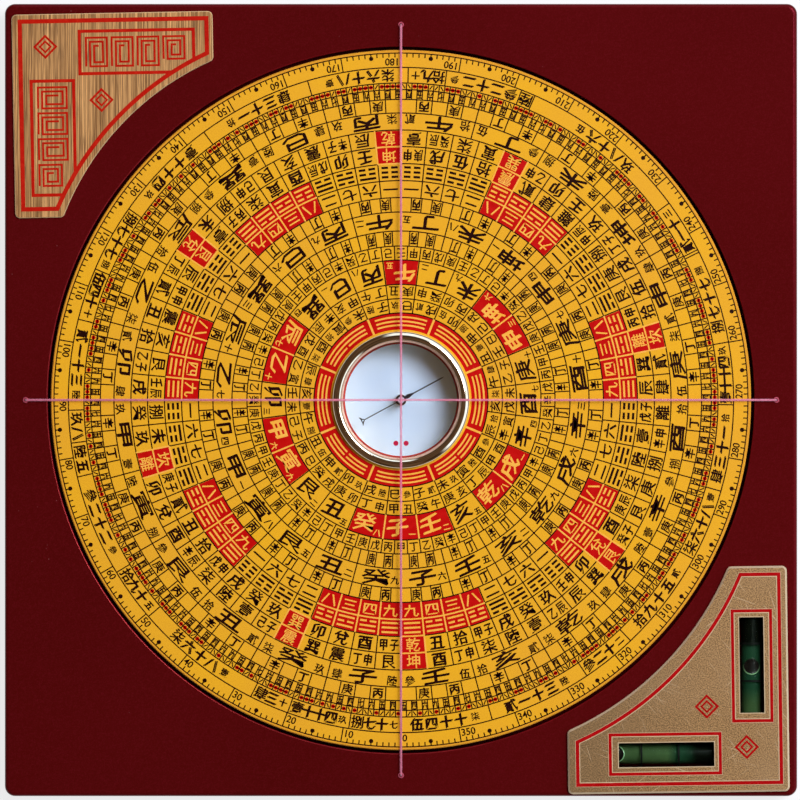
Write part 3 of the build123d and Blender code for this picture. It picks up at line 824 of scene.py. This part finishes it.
def print_degree_signs(red, black):
    """Degree cells: small numerals in every other one, and beads of red dots below them."""
    for degree in range(360):
        black.spoke(degree, OUTER_STEM_END, DOT_END, 0.22)
        if degree % 2:
            middle = (OUTER_STEM_END + DEGREE_SIGN_END) / 2
            sign = DEGREE_NUMERALS[degree // 2 % 10]
            black.sign(sign, degree + 0.5, middle, 1.85, 1.15, bold=0.18)
    middle = (DEGREE_SIGN_END + DOT_END) / 2
    degree = 0
    while degree < 358:
        run = random.choice((1, 1, 2, 3, 4))
        for i in range(min(run, 358 - degree)):
            spot = at_bearing(degree + i + 0.5, middle)
            red.dot(spot.x, spot.y, 0.42)
        red.sector(middle - 0.12, middle + 0.12, degree + 0.2, degree + run - 0.2, 1.0)
        degree += run
        for i in range(random.choice((1, 2, 3))):
            tick = at_bearing(degree + i + 0.5, middle)
            turn = random.choice((-0.6, 0.6)) - radians(degree + i + 0.5)
            black.bar(tick.x, tick.y, 0.22, 0.95, turn)
        degree += i + 1


LODGE_START = 326.0
LODGE_WIDTHS = (
    18.25, 16, 9.25, 11, 7, 22.75, 9.5, 18, 6, 5.75, 16, 9.25, 12, 18.75,
    20.25, 17.75, 6.75, 13.5, 2.5, 30.25, 9.5, 0.5, 16.5, 11, 15.25, 12.75, 18, 9.75,
)


def print_lodges(black):
    """Twenty-eight cells of unequal width, each with a short row of numerals."""
    start = LODGE_START
    middle = (DOT_END + LODGE_END) / 2
    total = sum(LODGE_WIDTHS)
    for i, width in enumerate(LODGE_WIDTHS):
        span = 360 * width / total
        black.spoke(start, DOT_END, LODGE_END)
        count = min(5, int(span / 2.1))
        digits = (NUMERALS[(i * 3) % 10], NUMERALS[9], NUMERALS[(i * 7 + 2) % 10])
        row = (FORMAL_NUMERALS[(i * 3 + 1) % 10], *digits, FORMAL_NUMERALS[(i + 5) % 10])
        pitch = min(2.6, (span - 0.6) / max(1, count))
        first = start + span / 2 + pitch * (count - 1) / 2
        for j in range(count):
            tall, bold = (1.7, 0.16) if j == count - 1 and count > 2 else (2.6, 0.3)
            black.sign(row[j], first - pitch * j, middle, tall, bold=bold)
        start += span


def print_numbers(black):
    """The outer scale: a tick each degree, a dot each odd five, a line and number each ten."""
    tick = 0.84
    dot_reach = 0.9
    for degree in range(360):
        black.spoke(degree, NUMBER_END - tick if degree % 10 else LODGE_END, NUMBER_END)
        if degree % 10 == 5:
            spot = at_bearing(degree, NUMBER_END - dot_reach)
            black.dot(spot.x, spot.y, 0.43, 12)
            black.spoke(degree, NUMBER_END - dot_reach, NUMBER_END)
    for degree in range(0, 360, 10):
        for j, digit in enumerate(str(degree)):
            black.sign(digit, degree, LODGE_END + 1.05, 1.95, shift=0.75 + 0.95 * j, bold=0.05)


def print_dial():
    """All the print of the dial, in layers of red, black and yellow."""
    red = Ink(FACE_TOP, RED_RISE)
    yellow = Ink(FACE_TOP, YELLOW_RISE)
    inner, middle, outer = (Ink(FACE_TOP, BLACK_RISE) for _ in range(3))
    print_trigram_band(red, yellow, inner)
    pair_first = [BRANCHES[(i * 5 + 5) % 12] for i in range(24)]
    pair_second = [FORMAL_NUMERALS[(i * 3 + 2) % 10] for i in range(24)]
    print_pairs(inner, TRIGRAM_END, STAR_END, pair_first, pair_second, 2.1, 1.6)
    office_first = [STEMS[(i * 3) % 10] for i in range(24)]
    office_second = [BRANCHES[(i * 7 + 1) % 12] for i in range(24)]
    print_pairs(inner, STAR_END, OFFICE_END, office_first, office_second, 2.1, 2.1)
    print_mountains(red, yellow, inner)
    print_dragons(inner)
    print_stem_ring(inner, DRAGON_END, INNER_STEM_END, 2.5, 1.3)
    print_wide_mountains(middle, INNER_STEM_END, HUMAN_END, -7.5, 3.2, 5.8, NUMERALS, (1,), 1.7)
    print_stem_ring(middle, HUMAN_END, MIDDLE_STEM_END, 2.4, 1.7)
    print_figures(red, yellow, middle)
    print_names(red, yellow, middle)
    numerals = FORMAL_NUMERALS
    print_wide_mountains(outer, LOWER_NAME_END, HEAVEN_END, 7.5, 3.0, 6.0, numerals, (-1, 1), 2.1)
    print_stem_ring(outer, HEAVEN_END, OUTER_STEM_END, 2.2, 2.2)
    print_degree_signs(red, outer)
    print_lodges(outer)
    print_numbers(outer)
    for radius in (STAR_END, OFFICE_END, MOUNTAIN_END, DRAGON_END, INNER_STEM_END):
        inner.hoop(radius)
    middle_lines = (HUMAN_END, MIDDLE_STEM_END, NUMERAL_END, FIGURE_END)
    for radius in (*middle_lines, UPPER_NAME_END, LOWER_NAME_END):
        middle.hoop(radius)
    for radius in (HEAVEN_END, OUTER_STEM_END, DEGREE_SIGN_END, DOT_END, LODGE_END):
        outer.hoop(radius)
    outer.hoop(NUMBER_END, 0.22)
    layers = (
        ("print_red", red, "red_ink"),
        ("print_yellow", yellow, "yellow_ink"),
        ("print_black_inner", inner, "black_ink"),
        ("print_black_middle", middle, "black_ink"),
        ("print_black_outer", outer, "black_ink"),
    )
    for name, ink, finish in layers:
        finished_piece(name, ink.bm, "dial", finish)


# The capsule


# Radii and heights in millimetres, and in degrees how far the bezel's dome leans at its edges
BEZEL_CREST = 12.3
BEZEL_INNER = 11.72
BEZEL_TILT = 44
BEZEL_FOOT = 12.4
LIP_INNER = 11.37
LIP_HEIGHT = 0.32
LIP_ROUND = 0.1


def domed(start, end, steps):
    """Points from the bezel's crest to a radius, whose slope grows evenly to the bezel's tilt."""
    tilt = radians(BEZEL_TILT)
    points = []
    for i in range(1, steps + 1):
        share = i / steps
        drop = abs(end - start) / tilt * log(cos(tilt * share))
        points.append((start + (end - start) * share, BEZEL_TOP + drop))
    return points


def make_bezel():
    """A smooth polished ring, in place of the plain one, with a pale lip inside it."""
    ring = [(BEZEL_FOOT, CUP_TOP), (BEZEL_FOOT, FACE_TOP), (BEZEL_RADIUS, FACE_TOP)]
    ring += reversed(domed(BEZEL_CREST, BEZEL_RADIUS, 22))
    ring.append((BEZEL_CREST, BEZEL_TOP))
    ring += domed(BEZEL_CREST, BEZEL_INNER, 16)
    ring.append((BEZEL_INNER, CUP_TOP))
    lip_outer = BEZEL_INNER - 0.01
    lip_middle = (LIP_INNER + lip_outer) / 2
    lip = [(LIP_INNER, CUP_TOP), (lip_outer, CUP_TOP)]
    for i in range(9):
        angle = radians(180 * i / 8)
        reach = (lip_outer - LIP_INNER) / 2 * cos(angle)
        lip.append((lip_middle + reach, CUP_TOP + LIP_HEIGHT - LIP_ROUND + LIP_ROUND * sin(angle)))
    pieces = (
        ("bezel_bead", ring, 256, "polished_gold"),
        ("bezel_lip", lip, 192, "pale_brass"),
    )
    for name, profile, steps, finish in pieces:
        bm = bmesh.new()
        turned(bm, profile, steps)
        piece = finished_piece(name, bm, "dial", finish, smooth=True)
        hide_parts("bezel_ring")


def print_card():
    """The card's red border and its two dots at the south end."""
    border = Ink(CARD_TOP, RED_RISE)
    border.hoop(11.17, 0.36, 128)
    dots = Ink(CARD_TOP, RED_RISE)
    for x in (-1.0, 1.0):
        dots.dot(x, -8.5, 0.5, 24)
    finished_piece("card_border", border.bm, "dial", "card_red")
    finished_piece("card_dots", dots.bm, "dial", "card_dot")


# The well's edge


WELL_RADIUS = 69.1
WELL_BEVEL = 0.25


def make_well_edge():
    """A polished bead along the bevel of the board's well, a little lighter than the board as painted
    sheen.
    """
    reach = WELL_BEVEL + 0.005
    middle = (WELL_RADIUS + WELL_BEVEL, BOARD_TOP - WELL_BEVEL)
    profile = [middle]
    for i in range(8):
        angle = pi / 2 * i / 7
        profile.append((middle[0] - reach * cos(angle), middle[1] + reach * sin(angle)))
    bm = bmesh.new()
    turned(bm, profile, 256)
    finished_piece("well_edge", bm, "base", "board_edge_sheen", smooth=True)


# The sight lines


NYLON_RADIUS = 0.24
LINE_BEND = 12.34


def make_sight_lines():
    """Round nylon lines on the same route as the plain ones."""
    for name in ("sight_line_x", "sight_line_y"):
        low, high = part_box(name)
        reach = max(high.x, high.y) / MM - NYLON_RADIUS
        height = BEZEL_TOP + 0.1 + NYLON_RADIUS
        top = high.z / MM - NYLON_RADIUS
        half = [
            (reach, low.z / MM),
            (reach, EYELET_TOP + 0.1),
            (reach - 0.08, EYELET_TOP + 0.27),
            (reach - 0.25, EYELET_TOP + 0.35),
            (LINE_BEND, height),
        ]
        middle = (0, top if name == "sight_line_y" else height - 0.06)
        points = [*half, middle, *((-along, up) for along, up in reversed(half))]
        curve = bpy.data.curves.new(name, "CURVE")
        curve.dimensions = "3D"
        curve.bevel_depth = NYLON_RADIUS * MM
        curve.bevel_resolution = 3
        curve.use_fill_caps = True
        spline = curve.splines.new("POLY")
        spline.points.add(len(points) - 1)
        for point, (along, up) in zip(spline.points, points):
            place = (along, 0, up) if name == "sight_line_x" else (0, along, up)
            point.co = (place[0] * MM, place[1] * MM, place[2] * MM, 1)
        bm = welded(curve, 1e-7)
        bmesh.ops.scale(bm, vec=(1 / MM, 1 / MM, 1 / MM), verts=bm.verts)
        line = finished_piece(f"{name}_nylon", bm, "base", "nylon_line", smooth=True)
        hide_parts(name)


# Corner plates


def corner_turn(node, turn_deg):
    """The turn of a corner plate about its own middle."""
    low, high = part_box(node)
    middle = (low + high) / 2 / MM
    middle.z = 0
    turn = Matrix.Rotation(radians(turn_deg), 4, "Z")
    return Matrix.Translation(middle) @ turn @ Matrix.Translation(-middle)


def ribbon(ink, points, width, closed=True):
    """A line of even width through points, mitred at its corners, as one closed solid."""
    count = len(points)
    spots = [Vector(point) for point in points]
    pairs = []
    for i, spot in enumerate(spots):
        before = spots[i - 1] if closed or i else spot
        after = spots[(i + 1) % count] if closed or i < count - 1 else spot
        runs = [run.normalized() for run in (spot - before, after - spot) if run.length]
        sides = [Vector((-run.y, run.x)) for run in runs]
        middle = sum(sides, Vector((0, 0))).normalized()
        reach = width / 2 / middle.dot(sides[0])
        pairs.append([
            ink.bm.verts.new((*(spot + middle * side * reach), ink.floor)) for side in (-1, 1)
        ])
    links = zip(pairs, pairs[1:] + pairs[:1]) if closed else zip(pairs, pairs[1:])
    faces = [ink.bm.faces.new((a[0], b[0], b[1], a[1])) for a, b in links]
    grown = bmesh.ops.extrude_face_region(ink.bm, geom=faces, use_keep_orig=True)
    risen = [part for part in grown["geom"] if isinstance(part, bmesh.types.BMVert)]
    bmesh.ops.translate(ink.bm, verts=risen, vec=(0, 0, ink.depth))


def bowed_arc(radius, start, end, bow, count=24):
    """Points round the dial's axis between two angles from +X, further out by the bow half way."""
    points = []
    for i in range(count + 1):
        share = i / count
        angle = radians(start + (end - start) * share)
        reach = radius + bow * (1 - (2 * share - 1) ** 2)
        points.append((reach * cos(angle), reach * sin(angle)))
    return points


PLATE_LOZENGE = 2.1
FRET_LINE = 0.4


def fret_hook(ink, x, y, wide, tall):
    """One square spiral of a meander, as an unbroken line."""
    pitch = 2 * FRET_LINE
    w, h = wide / 2, tall / 2
    points = [(-w, -h), (-w, h), (w, h), (w, -h), (-w + pitch, -h), (-w + pitch, h - pitch)]
    points += [(w - pitch, h - pitch), (w - pitch, -h + pitch), (-w + 2 * pitch, -h + pitch)]
    points += [(-w + 2 * pitch, h - 2 * pitch), (w - 2 * pitch, h - 2 * pitch)]
    ribbon(ink, [(x + px, y + py) for px, py in points], FRET_LINE, closed=False)


def lozenge(ink, x, y):
    """Two diamonds, one in the other."""
    for share, line in ((1, 0.42), (0.5, 0.36)):
        r = PLATE_LOZENGE * share
        ribbon(ink, [(x + r, y), (x, y + r), (x - r, y), (x, y - r)], line)


def plate_print(node, turn_deg, draw):
    """A layer of print on a corner plate, turned as the plate is."""
    ink = Ink(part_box(node)[1].z / MM, RED_RISE)
    draw(ink)
    bmesh.ops.transform(ink.bm, matrix=corner_turn(node, turn_deg), verts=ink.bm.verts)
    return ink


def inset_box(x0, y0, x1, y1, inset):
    """A box's four corners, moved inwards."""
    left, right, near, far = x0 + inset, x1 - inset, y0 + inset, y1 - inset
    return [(left, near), (right, near), (right, far), (left, far)]


def print_upper_plate():
    """Red border, two boxes with square spirals that end on its arc, and two lozenges."""
    left, right, top, bottom = -74.2, -37.7, 74.3, 37.6
    arc, bow = 77.3, 0.95
    fret, short_fret, fret_pitch = 5.6, 4.4, 5.05

    def open_box(ink, x0, x1, y0, y1, past_x, past_y):
        """A box without the corner that lies past the border's arc, where its ends stop."""
        meet_x = -sqrt((arc + past_x) ** 2 - y0**2)
        meet_y = sqrt((arc + past_y) ** 2 - x1**2)
        points = [(x1, meet_y), (x1, y1), (x0, y1), (x0, y0), (meet_x, y0)]
        ribbon(ink, points, 0.63, closed=False)

    def draw(ink):
        start = 90 + degrees(asin(-right / arc))
        end = 180 - degrees(asin(bottom / arc))
        edge = [(right, top), (left, top), (left, bottom)]
        ribbon(ink, [*edge, *reversed(bowed_arc(arc, start, end, bow))], 0.84)
        ink.depth += SPOKE_DROP
        open_box(ink, -62.6, -40.3, 63.9, 72.2, 0.75, 0.5)
        open_box(ink, -72.2, -63.9, 40.3, 62.6, 0.5, 0.75)
        for i, size in enumerate((fret, fret, fret, short_fret)):
            inset = (fret - size) / 2
            fret_hook(ink, -59.3 + fret_pitch * i, 68.1 + inset, 4.1, size)
            fret_hook(ink, -68.1 - inset, 59.3 - fret_pitch * i, size, 4.1)
        lozenge(ink, -69.3, 69.3)
        lozenge(ink, -58.5, 58.7)

    red = plate_print("upper_corner_plate", 1.1, draw)
    finished_piece("upper_plate_print", red.bm, "base", "upper_red")


# The windows on the plate before it is turned: their middles, and half their sizes
WINDOWS = ((51.7, -69.3, 9.35, 2.375), (68.6, -52.0, 2.375, 9.35))


def print_lower_plate():
    """Red border, a red frame round each window, two lozenges, and pale lines of painted highlight along
    them.
    """
    left, right, top, bottom = 34.3, 74.1, -34.3, -75.0
    arc, bow = 74.9, 0.8
    # lip is the width of the pale lines of painted highlight.
    border, frame_line, lip = 0.7, 0.62, 0.16
    boxes = ((64.9, -62.9, 72.4, -41.4), (40.7, -73.0, 62.2, -65.3))

    def border_points(inset):
        reach = arc + inset
        start = -90 + degrees(asin((left + inset) / reach))
        end = -degrees(asin(-(top - inset) / reach))
        x, y = right - inset, bottom + inset
        return [(x, top - inset), (x, y), (left + inset, y), *bowed_arc(reach, start, end, bow)]

    def draw(ink):
        ribbon(ink, border_points(0), border)
        for box in boxes:
            ribbon(ink, inset_box(*box, 0), frame_line)
        lozenge(ink, 59.7, -60.0)
        lozenge(ink, 67.4, -68.0)

    def draw_lips(ink):
        ribbon(ink, border_points(border / 2 + lip / 2), lip)
        ribbon(ink, border_points(-border / 2 - lip / 4), lip / 2)
        for box in boxes:
            ribbon(ink, inset_box(*box, frame_line / 2 + lip / 2), lip)
            ribbon(ink, inset_box(*box, -frame_line / 2 - lip / 4), lip / 2)
        for x, y, half_x, half_y in WINDOWS:
            box = (x - half_x, y - half_y, x + half_x, y + half_y)
            ribbon(ink, inset_box(*box, -lip / 2), lip)

    red = plate_print("lower_corner_plate", 0.8, draw)
    highlight_lines = plate_print("lower_corner_plate", 0.8, draw_lips)
    finished_piece("lower_plate_print", red.bm, "base", "lower_red")
    finished_piece("lower_plate_highlight_lines", highlight_lines.bm, "base", "plate_edge_highlight")


# Spirit levels


LEVEL_WALL = 0.5
LIQUID_GAP = 0.12
LIQUID_BEVEL = 0.4

# Outlines of the bubble's rim, a ring of painted highlight, and of the bubble: radius, and height over
# the liquid's round
BUBBLE_LIFT = 0.01
BUBBLE_HIGHLIGHT_RIM = ((1.44, 0.0), (1.48, 0.1), (1.56, 0.105), (1.64, 0.08), (1.68, 0.0))
BUBBLE_PROFILE = (
    (0, 0.0), (0.3, 0.0), (0.6, 0.0), (0.9, 0.0), (1.22, 0.02),
    (1.42, 0.08), (1.56, 0.09), (1.64, 0.06), (1.66, -0.3), (0, -0.3),
)


def make_level(level):
    """The green liquid, and the bubble that lies against the top of the tube's bore."""
    low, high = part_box(f"{level}_liquid")
    middle = (low + high) / 2 / MM
    length = max(high.x - low.x, high.y - low.y) / MM
    tube_low, tube_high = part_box(f"{level}_tube")
    axis_height = (tube_high.z + tube_low.z) / MM / 2
    radius = (tube_high.z - tube_low.z) / MM / 2 - LEVEL_WALL - LIQUID_GAP
    along_x = level == "level_x"
    place = Matrix.Translation((middle.x, middle.y, axis_height))
    lie = Matrix.Rotation(pi / 2, 4, "Y" if along_x else "X")
    bm = bmesh.new()
    bmesh.ops.create_cone(
        bm, cap_ends=True, segments=48, radius1=radius, radius2=radius, depth=length,
        matrix=place @ lie,
    )
    rims = [edge for edge in bm.edges if len(edge.link_faces) == 2 and edge.calc_face_angle() > 1]
    bmesh.ops.bevel(
        bm, geom=rims, offset=LIQUID_BEVEL, segments=4, profile=0.5, affect="EDGES", material=-1
    )
    name = f"{level}_green"
    liquid = finished_piece(name, bm, "base", f"{level}_liquid", smooth=True)
    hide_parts(f"{level}_liquid")

    low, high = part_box(f"{level}_bubble")
    middle = (low + high) / 2 / MM
    body = level.replace("level", "bubble")
    pieces = (
        (f"{level}_air", BUBBLE_PROFILE, "level_air"),
        # The rim is a bright ring that stands as a painted highlight round the bubble.
        (f"{level}_air_rim", BUBBLE_HIGHLIGHT_RIM, f"{level}_rim"),
    )
    for name, profile, finish in pieces:
        bm = bmesh.new()
        turned(bm, profile, 40)
        bmesh.ops.remove_doubles(bm, verts=bm.verts, dist=0.001)
        for vert in bm.verts:
            across = vert.co.y if along_x else vert.co.x
            lifted = radius + BUBBLE_LIFT + vert.co.z
            vert.co.z = axis_height + sqrt(lifted**2 - across**2)
        bmesh.ops.translate(bm, verts=bm.verts, vec=(middle.x, middle.y, 0))
        piece = finished_piece(name, bm, body, finish, smooth=True)
        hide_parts(f"{level}_bubble")


# Finishes of the frame's nodes


NODES_BY_FINISH = {
    "board_laminate": ("base_board",),
    "brushed_brass": ("upper_corner_plate",),
    "satin_brass": ("lower_corner_plate",),
    "dial_print": ("dial_face",),
    "dial_core": ("dial_disc",),
    "card_white": ("compass_card",),
    "felt": ("glide_ring",),
    "polished_gold": ("bezel_ring",),
    "turned_brass": ("spindle_bush", "capsule_cup", "pivot_post"),
    "bright_steel": ("pivot_pin",),
    "blued_steel": ("needle_blade",),
    "cap_metal": ("needle_cap",),
    "jewel": ("needle_jewel",),
    "gasket_red": ("crystal_gasket",),
    "crystal_glass": ("crystal",),
    "eyelet_red": ("line_eyelets",),
    "crimp_tin": ("line_crimps",),
    "nylon_line": ("sight_line_x", "sight_line_y"),
    "level_acrylic": ("level_x_tube", "level_y_tube"),
    "level_black": ("level_x_plugs", "level_x_marks", "level_y_plugs", "level_y_marks"),
    "level_x_liquid": ("level_x_liquid",),
    "level_y_liquid": ("level_y_liquid",),
    "level_air": ("level_x_bubble", "level_y_bubble"),
}


def dress_nodes():
    """Gives every node of the frame its finish."""
    for finish, nodes in NODES_BY_FINISH.items():
        for node in nodes:
            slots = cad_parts[node].material_slots
            for entry in slots:
                entry.material = FINISHES[finish]
            if not slots:
                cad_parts[node].data.materials.append(FINISHES[finish])


# Light, floor and camera


# The camera's height in metres, and in millimetres its sensor and the view's width at the board
CAMERA_HEIGHT = 1.5
SENSOR_MM = 36.0
VIEW_WIDTH = 156.46
PIXEL_MM = VIEW_WIDTH / 800


def place_camera():
    """Looks straight down, a pixel left of the dial's middle, framed as the photograph is."""
    camera = bpy.data.cameras.new("camera")
    camera.sensor_width = SENSOR_MM
    camera.lens = SENSOR_MM * (CAMERA_HEIGHT - BOARD_TOP * MM) / (VIEW_WIDTH * MM)
    camera.clip_start = 0.05
    camera.clip_end = 20
    stand = put("camera", camera)
    stand.location = (-PIXEL_MM * MM, 0, CAMERA_HEIGHT)
    bpy.context.scene.camera = stand


LAMP_AZIMUTH = radians(35)
LAMP_ELEVATION = radians(58)
LAMP_SIZE = 0.4
LAMP_POWER = 7.6
LAMP_COLOUR = (0.92, 0.88, 1)


def place_lamp():
    """A square soft box, a metre from the dial's middle, that looks at it."""
    lamp = bpy.data.lights.new("key", "AREA")
    lamp.size = LAMP_SIZE
    lamp.energy = LAMP_POWER
    lamp.color = LAMP_COLOUR
    stand = put("key", lamp)
    flat = cos(LAMP_ELEVATION)
    way = Vector((flat * cos(LAMP_AZIMUTH), flat * sin(LAMP_AZIMUTH), sin(LAMP_ELEVATION)))
    stand.location = way
    stand.rotation_euler = way.to_track_quat("Z", "Y").to_euler()


# The window's azimuth in degrees, the ranges over which its edges fade in, and the height at
# which the wall turns pale
WINDOW_AZIMUTH = 27
WINDOW_SIDES = (0.16, 0.36)
WINDOW_HEAD = (0.89, 0.8)
WINDOW_SILL = (0.3, 0.42)
WINDOW_GLOW = (1.36, 1.57, 1.88, 1)
ROOM_DARK = (0.036, 0.018, 0.009, 1)
ROOM_PALE = (0.13, 0.078, 0.048, 1)
ROOM_PATCHES = 2.4
WALL_SHADE = (0.8, 0.8, 0.8, 1)
WALL_EDGE = (0.2, 0.12)


def light_room():
    """A broad window on the right, in a dim brown room with a pale lower wall and floor."""
    world = bpy.data.worlds.new("room")
    bpy.context.scene.world = world
    net = Net(world, "Generated")
    smooth = {"interpolation_type": "SMOOTHSTEP"}
    flat = net.vector_math("MULTIPLY", net.place, {1: (1, 1, 0)})[0]
    level_way = net.vector_math("NORMALIZE", flat)[0]
    window = (cos(radians(WINDOW_AZIMUTH)), sin(radians(WINDOW_AZIMUTH)), 0)
    sideways = net.vector_math("DOT_PRODUCT", level_way, {1: window})["Value"]
    height = net.along("Z")
    pane = net.spread(sideways, *WINDOW_SIDES, **smooth)
    for edge in (WINDOW_HEAD, WINDOW_SILL):
        pane = net.times(pane, net.spread(height, *edge, **smooth))
    patches = net.grain(ROOM_PATCHES, detail=2)
    room = net.fade(patches, 0.35, 0.65, ROOM_DARK, ROOM_PALE, **smooth)
    room = net.blend(pane, room, WINDOW_GLOW)
    room = net.fade(height, *WALL_EDGE, room, WALL_SHADE, **smooth)
    background = net.nodes["Background"]
    background.inputs["Strength"].default_value = 1
    net.links.new(room, background.inputs["Color"])


FLOOR_GAP = 0.2 * MM


def lay_floor():
    """A pale sheet just under the compass, which casts no shadow and lights nothing."""
    bm = bmesh.new()
    bmesh.ops.create_grid(bm, x_segments=1, y_segments=1, size=2.0)
    mesh = small_mesh(bm)
    mesh.materials.append(FINISHES["floor_paper"])
    floor = put("floor", mesh)
    floor.location.z = -FLOOR_GAP
    floor.visible_diffuse = False
    floor.visible_shadow = False


bpy.context.scene.view_settings.view_transform = "Standard"
make_finishes()
dress_nodes()
print_dial()
make_bezel()
print_card()
make_well_edge()
make_sight_lines()
make_level("level_x")
make_level("level_y")
print_upper_plate()
print_lower_plate()
lay_floor()
light_room()
place_lamp()
place_camera()
